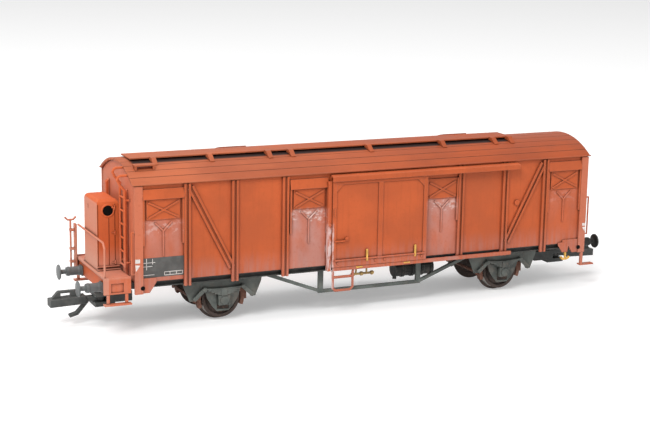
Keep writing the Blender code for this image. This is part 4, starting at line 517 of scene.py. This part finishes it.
class WAGON_OT_stage(bpy.types.Operator):
    """Sets up the floor, the studio lights and the camera"""

    bl_idname = "wagon.stage"
    bl_label = "Stage"

    def execute(self, context):
        self.floor(context)
        self.lights(context)
        self.camera(context)
        return {"FINISHED"}

    def floor(self, context):
        mesh = bpy.data.meshes.new("floor")
        reach = 6.0
        mesh.from_pydata([(-reach, -reach, 0), (reach, -reach, 0), (reach, reach, 0), (-reach, reach, 0)], [],
                         [(0, 1, 2, 3)])
        floor = bpy.data.objects.new("floor", mesh)
        context.scene.collection.objects.link(floor)
        material = bpy.data.materials.new("studio_floor")
        material.use_nodes = True
        tree = material.node_tree
        tree.nodes.clear()
        out = tree.nodes.new("ShaderNodeOutputMaterial")
        total = tree.nodes.new("ShaderNodeAddShader")
        matt = tree.nodes.new("ShaderNodeBsdfDiffuse")
        matt.inputs["Color"].default_value = (0.80, 0.80, 0.80, 1)
        glow = tree.nodes.new("ShaderNodeEmission")
        tree.links.new(self.seen(tree, 0.30), glow.inputs["Strength"])
        tree.links.new(matt.outputs[0], total.inputs[0])
        tree.links.new(glow.outputs[0], total.inputs[1])
        tree.links.new(total.outputs[0], out.inputs["Surface"])
        mesh.materials.append(material)

    def seen(self, tree, strength, rest=0.0):
        """A strength for the rays that show the backdrop, and another for the rays that light the wagon."""
        path = tree.nodes.new("ShaderNodeLightPath")
        most = path.outputs["Is Camera Ray"]
        for label in ("Is Glossy Ray", "Is Transmission Ray"):
            either = tree.nodes.new("ShaderNodeMath")
            either.operation = "MAXIMUM"
            tree.links.new(most, either.inputs[0])
            tree.links.new(path.outputs[label], either.inputs[1])
            most = either.outputs[0]
        scale = tree.nodes.new("ShaderNodeMapRange")
        scale.inputs["To Min"].default_value = rest
        scale.inputs["To Max"].default_value = strength
        tree.links.new(most, scale.inputs["Value"])
        return scale.outputs[0]

    def lights(self, context):
        world = bpy.data.worlds.new("studio")
        context.scene.world = world
        world.use_nodes = True
        back = world.node_tree.nodes["Background"]
        back.inputs["Color"].default_value = (1, 1, 1, 1)
        world.node_tree.links.new(self.seen(world.node_tree, 1.0, 0.55), back.inputs["Strength"])
        lamps = (
            ("key", (-0.42, -0.40, 0.56), 0.34, 4.0),
            ("top", (-0.10, 0.10, 0.80), 0.50, 2.2),
            ("fill", (0.55, -0.50, 0.25), 0.50, 0.7),
        )
        for name, place, size, power in lamps:
            data = bpy.data.lights.new(name, "AREA")
            data.shape = "DISK"
            data.size = size
            data.energy = power
            lamp = bpy.data.objects.new(name, data)
            lamp.location = place
            lamp.rotation_euler = (-Vector(place)).to_track_quat("-Z", "Y").to_euler()
            context.scene.collection.objects.link(lamp)

    def camera(self, context):
        context.scene.view_settings.view_transform = "Standard"
        azimuth, elevation, roll = (math.radians(a) for a in (24.704, 12.109, 0.964))
        ahead = Vector((math.sin(azimuth) * math.cos(elevation), math.cos(azimuth) * math.cos(elevation),
                        -math.sin(elevation)))
        level = Vector((math.cos(azimuth), -math.sin(azimuth), 0))
        upright = level.cross(ahead)
        right = level * math.cos(roll) + upright * math.sin(roll)
        up = upright * math.cos(roll) - level * math.sin(roll)
        data = bpy.data.cameras.new("camera")
        data.lens = 84.996
        data.sensor_width = 36
        data.clip_start = 0.01
        data.clip_end = 20
        camera = bpy.data.objects.new("camera", data)
        stand = Vector((-0.142175, -0.294708, 0.087142)) + ORIGIN
        camera.matrix_world = Matrix.Translation(stand) @ Matrix((right, up, -ahead)).transposed().to_4x4()
        context.scene.collection.objects.link(camera)
        context.scene.camera = camera


class WAGON_OT_paint(bpy.types.Operator):
    """Paints every solid of the wagon"""

    bl_idname = "wagon.paint"
    bl_label = "Paint"

    def execute(self, context):
        wear("body", "end_wall_cab", "end_wall_plain", "platform", "booth", "railing", "brake_stand", "ladder")
        for side, _ in SIDES:
            for stem in ("side_wall", "door", "door_top_rail", "door_lower_rail", "door_step", "shunter_step",
                         "platform_step"):
                wear("body", f"{stem}_{side}")
            wear("truss", f"truss_{side}")
            wear("grip", f"rope_hook_{side}")
            for end, _ in WHEELSETS:
                wear("guard", f"axle_guard_{end}_{side}", f"spring_{end}_{side}", f"axle_box_{end}_{side}")
                wear("buffer" if end == "cab" else "buffer_dark", f"buffer_{end}_{side}")
        for end, _ in WHEELSETS:
            wear("coupler", f"coupler_{end}", f"coupler_box_{end}")
            wear("wheel", f"wheelset_{end}")
            wear("rust", f"brake_{end}_inner", f"brake_{end}_outer")
        wear("roof", "roof")
        wear("roof_trim", "roof_walkway", "roof_step_board", "roof_cover_cab", "roof_cover_plain")
        wear("frame", "underframe", "air_cylinder")
        wear("brass", "changeover_gear")
        return {"FINISHED"}


class WAGON_OT_wheels(bpy.types.Operator):
    """Turns the two wheelsets with coned treads, rounded flanges and dished discs"""

    bl_idname = "wagon.wheels"
    bl_label = "Wheelsets"

    def execute(self, context):
        # (Radius, distance from the wagon's middle), from the axle's end over the disc and tread to the flange's back
        half = [(0, 0.0087), (0.00028, 0.0087), (0.00035, 0.0086), (0.00035, 0.0076), (0.0011, 0.00745),
                (0.0012, 0.0073), (0.0012, 0.0070), (0.0014, 0.00684), (0.0022, 0.00670), (0.0031, 0.00680),
                (0.0033, 0.00695), (0.00342, 0.00728), (0.00350, 0.0073), (0.00406, 0.0073), (0.00412, 0.00726),
                (0.00415, 0.0059), (0.00422, 0.00574), (0.00445, 0.00558), (0.0047, 0.00546), (0.00475, 0.00535),
                (0.0047, 0.00522), (0.00455, 0.00512), (0.0043, 0.0051), (0.0035, 0.0051), (0.0033, 0.00525),
                (0.0022, 0.00545), (0.0014, 0.00535), (0.0012, 0.0051), (0.0007, 0.0050)]
        profile = half + [(radius, -reach) for radius, reach in reversed(half)]
        for end, station in WHEELSETS:
            shape = Shape()
            shape.lathe(profile, (station, 0, AXLE), "Y", 64)
            wheel = shape.place(f"wheels_{end}", "wheel", f"wheelset_{end}", [f"wheelset_{end}"],
                                "wheel_steel", smooth=30)
            self.brighten_tread(wheel, Vector((station, 0, AXLE)) + ORIGIN)
        return {"FINISHED"}

    def brighten_tread(self, wheel, centre):
        """Gives the running surface of both wheels its bare metal."""
        rim, flange, front = 0.0040, 0.00575, 0.00728
        wheel.data.materials.append(finishes()["tread"])
        for face in wheel.data.polygons:
            radius = math.hypot(face.center.x - centre.x, face.center.z - centre.z)
            if radius > rim and flange < abs(face.center.y) < front:
                face.material_index = 1


class WAGON_OT_springs(bpy.types.Operator):
    """Lays up the leaf springs with their buckles, eyes and shackles"""

    bl_idname = "wagon.springs"
    bl_label = "Leaf springs"

    def execute(self, context):
        side, front, thick, span, height, sag = 0.00855, 0.0096, 0.0003, 0.0042, 0.0068, 0.0002
        shackle = Vector((0.0065, 0.0046))
        for end, station in WHEELSETS:
            for label, across in SIDES:
                shape = Shape()
                for i in range(context.scene.wagon_sizes.leaves):
                    reach = span * (1 - 0.17 * i)
                    arc = [(share / 6 - 1) * reach for share in range(13)]
                    arc = [(station + x, height - sag * (1 - (x / span) ** 2) - i * thick) for x in arc]
                    leaf = [(x, z + thick * 0.46) for x, z in arc] + [(x, z - thick * 0.46) for x, z in reversed(arc)]
                    shape.sweep(leaf, across * side, across * (side + 0.0009), "Y")
                shape.block((station - 0.0006, across * side, 0.0052), (station + 0.0006, across * front, 0.0067))
                for turn in (-1, 1):
                    eye = Vector((turn * span, 0.0067))
                    ends = [(0, side), (0.00045, side), (0.00045, front - 0.00008), (0.0003, front), (0, front)]
                    shape.lathe(ends, (station + eye.x, 0, eye.y), "Y", 16, across)
                    foot = Vector((turn * shackle.x, shackle.y))
                    wide = (foot - eye).orthogonal().normalized() * 0.0004
                    corners = (eye - wide, foot - wide, foot + wide, eye + wide)
                    shape.sweep([(station + corner.x, corner.y) for corner in corners],
                                across * (side + 0.0003), across * (side + 0.0007), "Y")
                shape.place(f"leaf_spring_{end}_{label}", "guard", "wagon", [f"spring_{end}_{label}"],
                            "frame_paint", soft=True)
        return {"FINISHED"}


class WAGON_OT_buffers(bpy.types.Operator):
    """Turns the four buffers with their ribbed sleeves and bolted base plates"""

    bl_idname = "wagon.buffers"
    bl_label = "Buffers"

    def execute(self, context):
        plate, bolt = 0.00102, 0.00078
        # (Radius, distance back from the face) of the head and its rod, and (radius, height) of the ribbed sleeve
        head = ((0, 0), (0.0006, 0.00002), (0.00125, 0.0001), (0.00156, 0.00018), (0.0016, 0.00026), (0.0016, 0.00042),
                (0.00152, 0.0005), (0.0007, 0.00062), (0.0005, 0.0008))
        sleeve = [(0.0005, 0.0034), (0.00086, 0.0034), (0.00092, 0.00334), (0.00092, 0.0031), (0.001, 0.00305),
                  (0.001, 0.0027), (0.00092, 0.0026), (0.00092, 0.0009), (0.001, 0.0008), (0.001, 0.0003), (0, 0.0003)]
        for end, finish, out in (("cab", "buffer", -1), ("plain", "buffer_dark", 1)):
            for side, _ in SIDES:
                low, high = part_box(f"buffer_{end}_{side}")
                root = (high.x if out < 0 else low.x) - MIDDLE
                y, z = (low.y + high.y) / 2, (low.z + high.z) / 2 - FLANGE
                shape = Shape()
                profile = [(radius, high.x - low.x - back) for radius, back in head] + sleeve
                shape.lathe(profile, (root, y, z), "X", 40, out)
                shape.block((root, y - plate, z - plate), (root + out * 0.00032, y + plate, z + plate))
                for across in (-bolt, bolt):
                    for up in (-bolt, bolt):
                        shape.rivet((root + out * 0.0003, y + across, z + up), "X", out)
                shape.place(f"buffer_piece_{end}_{side}", finish, "wagon", [f"buffer_{end}_{side}"],
                            "buffer_grey", soft=True)
        return {"FINISHED"}


class WAGON_OT_walkway(bpy.types.Operator):
    """Lays the roof walkway's three planks between two rows of brackets"""

    bl_idname = "wagon.walkway"
    bl_label = "Roof walkway"

    def execute(self, context):
        low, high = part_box("roof_walkway")
        top, plank, gap = high.z - FLANGE, 0.0020, 0.00003
        shape = Shape()
        for i in range(3):
            near = (i - 1.5) * plank
            shape.block((low.x - MIDDLE, near + gap, top - 0.0003), (high.x - MIDDLE, near + plank - gap, top))
        # Where the brackets stand, as shares of half the body's length
        near_shares = (-0.883, -0.654, -0.41, -0.314, 0.03, 0.366, 0.611, 0.69)
        far_shares = (-0.883, -0.654, -0.36, 0.03, 0.366, 0.69)
        for side, shares, cap in ((-1, near_shares, top + 0.0001), (1, far_shares, top - 0.0003)):
            for share in shares:
                self.bracket(shape, share * BODY_HALF, side, cap)
        shape.place("walkway_planks", "roof_trim", "wagon", ["roof_walkway"], "roof_paint", soft=True)
        return {"FINISHED"}

    def bracket(self, shape, x, side, cap):
        """One bracket: an upright block beside the planks, with a toe that runs down the roof's slope."""
        seat = [(y, roof_height(y) + 0.00003) for y in (0.0028, 0.0036, 0.0044, 0.0050, 0.0057)]
        back = [(0.0057, roof_height(0.0057) + 0.0002), (0.0050, roof_height(0.0050) + 0.0005),
                (0.0044, cap - 0.0002), (0.0042, cap), (0.0028, cap)]
        shape.sweep([(side * y, z) for y, z in seat + back], x - 0.0005, x + 0.0005, "X")


def roof_height(y):
    """Height of the roof's outer skin at a distance from the wagon's middle."""
    eaves, rise, half = 0.0296, 0.0037, 0.01133
    radius = (half**2 + rise**2) / (2 * rise)
    return eaves + rise - radius + math.sqrt(radius**2 - y**2)


class WAGON_OT_markings(bpy.types.Operator):
    """Lays the bare black panels, their ruled lines and the white corner marks on both sides"""

    bl_idname = "wagon.markings"
    bl_label = "Bare marking panels"

    def execute(self, context):
        panel, post, film, thin = -PANEL_FACE, -POST_FACE, 0.00003, 0.00005
        patch = Shape()
        patch.block((-0.0514, panel - film, 0.01075), (-0.0426, panel + film, 0.01475))
        patch.place("marking_panel_near", "marking", "wagon", both=True)
        lines = Shape()
        # Each rule's left and right end, foot and top
        rules = (
            (-0.05047, -0.05047, 0.0124, 0.01465), (-0.04921, -0.04921, 0.0135, 0.0145),
            (-0.0512, -0.0487, 0.0138, 0.0138), (-0.0512, -0.0493, 0.01305, 0.01305),
            (-0.0512, -0.0489, 0.0113, 0.0113), (-0.04672, -0.04292, 0.01105, 0.01105),
            (-0.04672, -0.04292, 0.0117, 0.0117), (-0.04672, -0.04672, 0.01105, 0.0117),
            (-0.04557, -0.04557, 0.01105, 0.0117), (-0.04419, -0.04419, 0.01105, 0.0117),
            (-0.04292, -0.04292, 0.01105, 0.0117),
        )
        for left, right, low, high in rules:
            lines.block((left - thin, panel - 2 * film, low - thin), (right + thin, panel, high + thin))
        lines.place("marking_lines_near", "white", "wagon", both=True)
        marks = Shape()
        marks.block((-0.05293, post - film, 0.0140), (-0.05195, post + film, 0.0148))
        marks.sweep([(-0.05293, 0.01369), (-0.05195, 0.0135), (-0.0528, 0.01233)], post - film, post + film, "Y")
        marks.block((0.0521, post - film, 0.0137), (0.05293, post + film, 0.0143))
        marks.sweep([(0.0521, 0.0134), (0.05293, 0.0134), (0.0528, 0.0124)], post - film, post + film, "Y")
        marks.place("corner_marks_near", "white", "wagon", both=True)
        return {"FINISHED"}


class WAGON_OT_doors(bpy.types.Operator):
    """Frames the sliding doors, with their handles and latches, and makes the post and lower rail beside each"""

    bl_idname = "wagon.doors"
    bl_label = "Sliding doors"

    def execute(self, context):
        top = 0.02793
        self.leaf(-0.010405, 0.011845, 0.0096, top)
        self.post(-0.0113, -0.01046, 0.0088, top)
        self.rail(-0.0102, 0.0434)
        return {"FINISHED"}

    def leaf(self, left, right, low, high):
        """One door between its edges, foot and top: frame, gussets, bottom bar, handle, latch and clamps."""
        inner, panel, face = -0.0115, -0.0120, -0.01222
        middle, half, stile, sill, head = (left + right) / 2, 0.00055, 0.0009, 0.0109, high - 0.0007
        leaf = Shape()
        leaf.block((left, panel, low), (right, inner, high))
        bands = ((left, left + stile, low, high), (right - stile, right, low, high),
                 (middle - half, middle + half, sill, head), (left + stile, right - stile, low, sill),
                 (left + stile, right - stile, head, high))
        for start, end, foot, top in bands:
            leaf.block((start, face, foot), (end, panel, top))
        for corner, turn in ((left + stile, 1), (right - stile, -1)):
            leaf.sweep([(corner, head), (corner + turn * 0.0015, head), (corner, head - 0.0015)], face, panel, "Y")
        edge, bar, wire = left + stile / 2, face - 0.0001, 0.0002
        leaf.tube([(edge, bar, 0.01107), (right - 0.0003, bar, 0.01107)], wire)
        leaf.tube([(edge, bar, 0.0152), (edge + 0.00245, bar, 0.0152)], wire)
        knob = [(0.0004, -face), (0.0004, 0.0124), (0.0003, 0.01245), (0, 0.01245)]
        leaf.lathe(knob, (edge + 0.0028, 0, 0.0156), "Y", 16, out=-1)
        leaf.block((edge - 0.0002, face - 0.0002, 0.0204), (edge + 0.0002, face, 0.02215))
        for x in (left + 0.0012, middle - 2 * half, middle + 2 * half, right - 0.0012):
            leaf.block((x - 0.00022, face - 0.00015, 0.0102), (x + 0.00022, face, 0.0107))
        leaf.place("door_leaf_near", "body", "door_near", ["door_near"], "body_paint", soft=True, both=True)

    def post(self, left, right, foot, top):
        """The post that the door closes against, with its knob."""
        face, back = -0.0119, -0.0108
        post = Shape()
        post.block((left, face, foot), (right, back, top))
        post.rivet(((left + right) / 2, face, 0.0187), "Y", -1, 0.0004)
        post.place("door_post_near", "body", "wagon", slot="body_paint", soft=True, both=True)

    def rail(self, start, length):
        """The lower rail from its cab end, on brackets, with two hangers for the door's step."""
        rail = Shape()
        rail.block((start, -0.0121, 0.0088), (start + length, -0.0115, 0.00955))
        for share in (0.03, 0.24, 0.48, 0.64, 0.92):
            x = start + share * length
            rail.block((x - 0.00035, -0.0116, 0.0090), (x + 0.00035, -0.0106, 0.00935))
        for x in (start + 0.0001, -0.0053):
            rail.block((x - 0.0002, -0.0120, 0.0085), (x + 0.0002, -0.0116, 0.0089))
        rail.place("lower_rail_near", "body", "wagon", ["door_lower_rail_near"], "body_paint", soft=True, both=True)


class WAGON_OT_grips(bpy.types.Operator):
    """Bends the yellow grips of the doors and sets the small yellow lugs on the lower rails"""

    bl_idname = "wagon.grips"
    bl_label = "Yellow grips"

    def execute(self, context):
        grips = Shape()
        stand = -0.01232
        for x in (-0.00235, 0.00911):
            grips.tube([(x, stand + 0.0002, 0.01066), (x, stand, 0.01074), (x, stand, 0.01286),
                        (x, stand + 0.0001, 0.01294)], 0.00024)
        grips.place("door_grips_near", "grip", "door_near", both=True)
        lugs = Shape()
        for x in (-0.00399, 0.00728):
            lugs.block((x - 0.00075, -0.01216, 0.0091), (x + 0.00075, -0.01205, 0.0094))
        lugs.place("rail_lugs_near", "grip", "wagon", soft=True, both=True)
        return {"FINISHED"}


class WAGON_OT_hooks(bpy.types.Operator):
    """Forges the two-armed yellow rope hooks and their riveted tabs, and puts discs of painted shade into the corner
    gussets' openings
    """

    bl_idname = "wagon.hooks"
    bl_label = "Rope hooks"

    def execute(self, context):
        side, stem = -0.01108, 0.0481
        hook = Shape()
        hook.tube([(stem, side, 0.00785), (stem, side, 0.00635)], 0.00026)
        arms = ((-0.00115, 0.0069), (-0.00095, 0.00655), (-0.0005, 0.00635), (0, 0.0063), (0.0005, 0.00638),
                (0.00088, 0.0066), (0.001, 0.00692))
        hook.tube([(stem + x, side, z) for x, z in arms], 0.00025)
        hook.place("rope_hook_forged_near", "grip", "wagon", ["rope_hook_near"], "hook_yellow", both=True)
        tab = Shape()
        face = -0.01116
        outline = [(0.0461, 0.0102), (0.0488, 0.0102), (0.0488, 0.0094), (0.0486, 0.0079), (0.0473, 0.0079),
                   (0.0461, 0.0095)]
        tab.sweep(outline, face, -0.01095, "Y")
        for x in (0.0470, 0.0483):
            tab.rivet((x, face, 0.0097), "Y", -1)
        tab.place("hook_tab_near", "body", "wagon", slot="body_paint", soft=True, both=True)
        # Painted shade: near-black discs that fill the gussets' openings
        hole_shadows = Shape()
        radius, front = 0.00045, POST_FACE + 0.00002
        for x in (-0.05141, 0.05141):
            hole_shadows.lathe([(radius, 0.0113), (radius, front), (0, front)], (x, 0, 0.0088), "Y", 20, out=-1)
        hole_shadows.place("gusset_holes_near", "dark", "wagon", both=True)
        return {"FINISHED"}


class WAGON_OT_booth(bpy.types.Operator):
    """Adds the booth's window rims, window discs painted near-black as painted shade of the inside, door seam lines as
    strips of painted shadow, hinges and sills on both sides
    """

    bl_idname = "wagon.booth"
    bl_label = "Booth trim"

    def execute(self, context):
        low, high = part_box("booth")
        left, right = low.x - MIDDLE, high.x - MIDDLE
        middle, hinge, film, hair = (left + right) / 2, right - 0.00085, 0.00002, 0.00007
        rim = [(0.00106, 0), (0.00106, 0.00012), (0.00114, 0.00016), (0.00132, 0.00014), (0.00145, 0)]
        pane = [(0.00108, 0), (0.00108, film), (0, film)]
        trim, pane_shades, seam_shadows = Shape(), Shape(), Shape()
        for wall, out in ((low.y, -1), (high.y, 1)):
            window = (middle, wall, 0.0234)
            trim.lathe(rim, window, "Y", 32, out)
            # Painted shade: a near-black disc in each window
            pane_shades.lathe(pane, window, "Y", 32, out)
            for x, top in ((left + 0.00022, 0.0247), (middle + 0.0002, 0.02185), (hinge, 0.0247)):
                # Painted shadow: thin dark strips along the door's seam lines
                seam_shadows.block((x - hair, wall, 0.0121), (x + hair, wall + out * film, top))
            for z in (0.0127, 0.0188, 0.0240):
                pin = wall + out * 0.00008
                trim.tube([(hinge, pin, z - 0.00045), (hinge, pin, z + 0.00045)], 0.00016)
                trim.block((hinge - 0.0007, wall, z - 0.00012), (hinge, wall + out * 0.00016, z + 0.00012))
            for z, reach in ((0.01195, 0.0004), (0.0114, 0.0007)):
                trim.block((left - 0.0001, wall, z - 0.0001), (right, wall + out * reach, z + 0.0001))
        trim.place("booth_trim", "body", "wagon", slot="body_paint", soft=True)
        pane_shades.place("booth_pane_shades", "dark", "wagon")
        seam_shadows.place("booth_seam_shadows", "seam", "wagon")
        return {"FINISHED"}


class WAGON_OT_ladder(bpy.types.Operator):
    """Bends the roof ladder, whose rails loop outwards on their way to the roof's end"""

    bl_idname = "wagon.ladder"
    bl_label = "Roof ladder"

    def execute(self, context):
        low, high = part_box("roof")
        roof_end = low.x - MIDDLE - 0.00003
        x, near, far, foot, pitch, loop, rung = -0.054025, -0.0081, -0.0051, 0.0126, 0.00275, 0.0015, 0.0002
        shape = Shape()
        for y in (near, far):
            top = roof_height(y) - 0.0003
            shape.tube([(x, y, foot), (x, y, top - 0.0030), (x - loop * 0.75, y, top - 0.0016),
                        (x - loop, y, top - 0.0008), (x - loop * 0.8, y, top - 0.0002), (x - loop * 0.5, y, top),
                        (roof_end, y, top)], 0.00026)
        for i in range(6):
            z = foot + 0.0003 + i * pitch
            shape.tube([(x, near, z), (x, far, z)], rung)
        for z in (0.0135, 0.0262):
            for y in (near, far):
                shape.tube([(x, y, z), (-0.0529, y, z)], rung)
        shape.place("roof_ladder", "body", "wagon", ["ladder"], "body_paint")
        return {"FINISHED"}


class WAGON_OT_guards(bpy.types.Operator):
    """Cuts the four axle guards: a wing each side of a shield that is open round the axle box"""

    bl_idname = "wagon.guards"
    bl_label = "Axle guards"

    def execute(self, context):
        back, front, top, foot, wing = 0.0081, 0.0085, 0.00862, 0.0017, 0.0087
        # Half the outline from the wing's top corner to the foot, as shares of the wing's reach and the height
        shares = ((1, 1), (0.977, 0.826), (0.828, 0.37), (0.713, 0.37), (0.575, 0.684), (0.46, 0.684),
                  (0.379, 0.385), (0.264, 0.157), (0.149, 0))
        half = [(x * wing, foot + z * (top - foot)) for x, z in shares]
        half += [(0, foot), (0, foot + 0.0004), (0.0013, foot + 0.0004), (0.0013, 0.0063), (0, 0.0063), (0, top)]
        for end, station in WHEELSETS:
            for label, across in SIDES:
                shape = Shape()
                for turn in (-1, 1):
                    shape.sweep([(station + turn * x, z) for x, z in half], across * back, across * front, "Y")
                    for x, z in ((0.0021, 0.0079), (0.0048, 0.0079), (0.0076, 0.0079), (0.0023, 0.0045)):
                        shape.rivet((station + turn * x, across * front, z), "Y", across)
                shape.place(f"guard_{end}_{label}", "guard", "wagon", [f"axle_guard_{end}_{label}"],
                            "frame_paint", soft=True)
        return {"FINISHED"}


class WAGON_OT_couplers(bpy.types.Operator):
    """Builds the hook couplers: an eye on the pin, a shank, the hook under its plate and a bent tail at the cab end"""

    bl_idname = "wagon.couplers"
    bl_label = "Couplers"

    def execute(self, context):
        tall, bore, eye, low_face, high_face, shank = 0.00685, 0.00066, 0.0012, 0.0043, 0.0052, 0.0009
        ring = ((bore, low_face), (eye, low_face), (eye, high_face), (bore, high_face), (bore, low_face))
        # Half width and outline of each form, as shares of the reach from the pin and of the height
        forms = (
            (0.0013, ((0.296, 0.577), (1, 0.547), (1, 0.774), (0.296, 0.818))),
            (0.00045, ((0.972, 0.76), (0.843, 0.978), (0.82, 1), (0.778, 1), (0.778, 0.76))),
            (0.00045, ((0.583, 0.79), (0.583, 1), (0.407, 1), (0.36, 0.79))),
            (0.00045, ((0.778, 0.927), (0.778, 1), (0.583, 1), (0.583, 0.927))),
        )
        tail = (0.0006, ((0.204, 0.65), (0.273, 0.65), (0.472, 0.321), (0.62, 0.25), (0.60, 0.17), (0.44, 0.234)))
        for end, out, own in (("cab", -1, (*forms, tail)), ("plain", 1, forms)):
            low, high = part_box(f"coupler_{end}")
            pin = (high.x - eye if out < 0 else low.x + eye) - MIDDLE
            reach = high.x - low.x - eye
            shape = Shape()
            shape.lathe(ring, (pin, 0, 0), "Z", 24)
            shape.block((pin + out * shank, -shank, low_face), (pin + out * reach * 0.32, shank, high_face))
            for half, shares in own:
                shape.sweep([(pin + out * x * reach, z * tall) for x, z in shares], -half, half, "Y")
            shape.place(f"hook_coupler_{end}", "coupler", f"coupler_{end}", [f"coupler_{end}"],
                        "frame_paint", soft=True)
        return {"FINISHED"}


class WAGON_PT_parts(bpy.types.Panel):
    """Lists the wagon's parts, paints and sizes"""

    bl_idname = "WAGON_PT_parts"
    bl_label = "Covered goods wagon"
    bl_space_type = "VIEW_3D"
    bl_region_type = "UI"
    bl_category = "Wagon"

    def draw(self, context):
        for part in PARTS:
            self.layout.operator(part.bl_idname)
        for group, holder in ((context.scene.wagon_colours, WagonColours), (context.scene.wagon_sizes, WagonSizes)):
            for name in holder.__annotations__:
                self.layout.prop(group, name)


PARTS = (
    WAGON_OT_stage, WAGON_OT_paint, WAGON_OT_wheels, WAGON_OT_springs, WAGON_OT_buffers, WAGON_OT_walkway,
    WAGON_OT_markings, WAGON_OT_doors, WAGON_OT_grips, WAGON_OT_hooks, WAGON_OT_booth, WAGON_OT_ladder,
    WAGON_OT_guards, WAGON_OT_couplers,
)
CLASSES = (WagonColours, WagonSizes, *PARTS, WAGON_PT_parts)


def register():
    for item in CLASSES:
        bpy.utils.register_class(item)
    bpy.types.Scene.wagon_colours = bpy.props.PointerProperty(type=WagonColours)
    bpy.types.Scene.wagon_sizes = bpy.props.PointerProperty(type=WagonSizes)


def unregister():
    del bpy.types.Scene.wagon_sizes
    del bpy.types.Scene.wagon_colours
    for item in reversed(CLASSES):
        bpy.utils.unregister_class(item)


def main():
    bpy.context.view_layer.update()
    register()
    for part in PARTS:
        group, name = part.bl_idname.split(".")
        getattr(getattr(bpy.ops, group), name)()


if __name__ == "__main__":
    main()
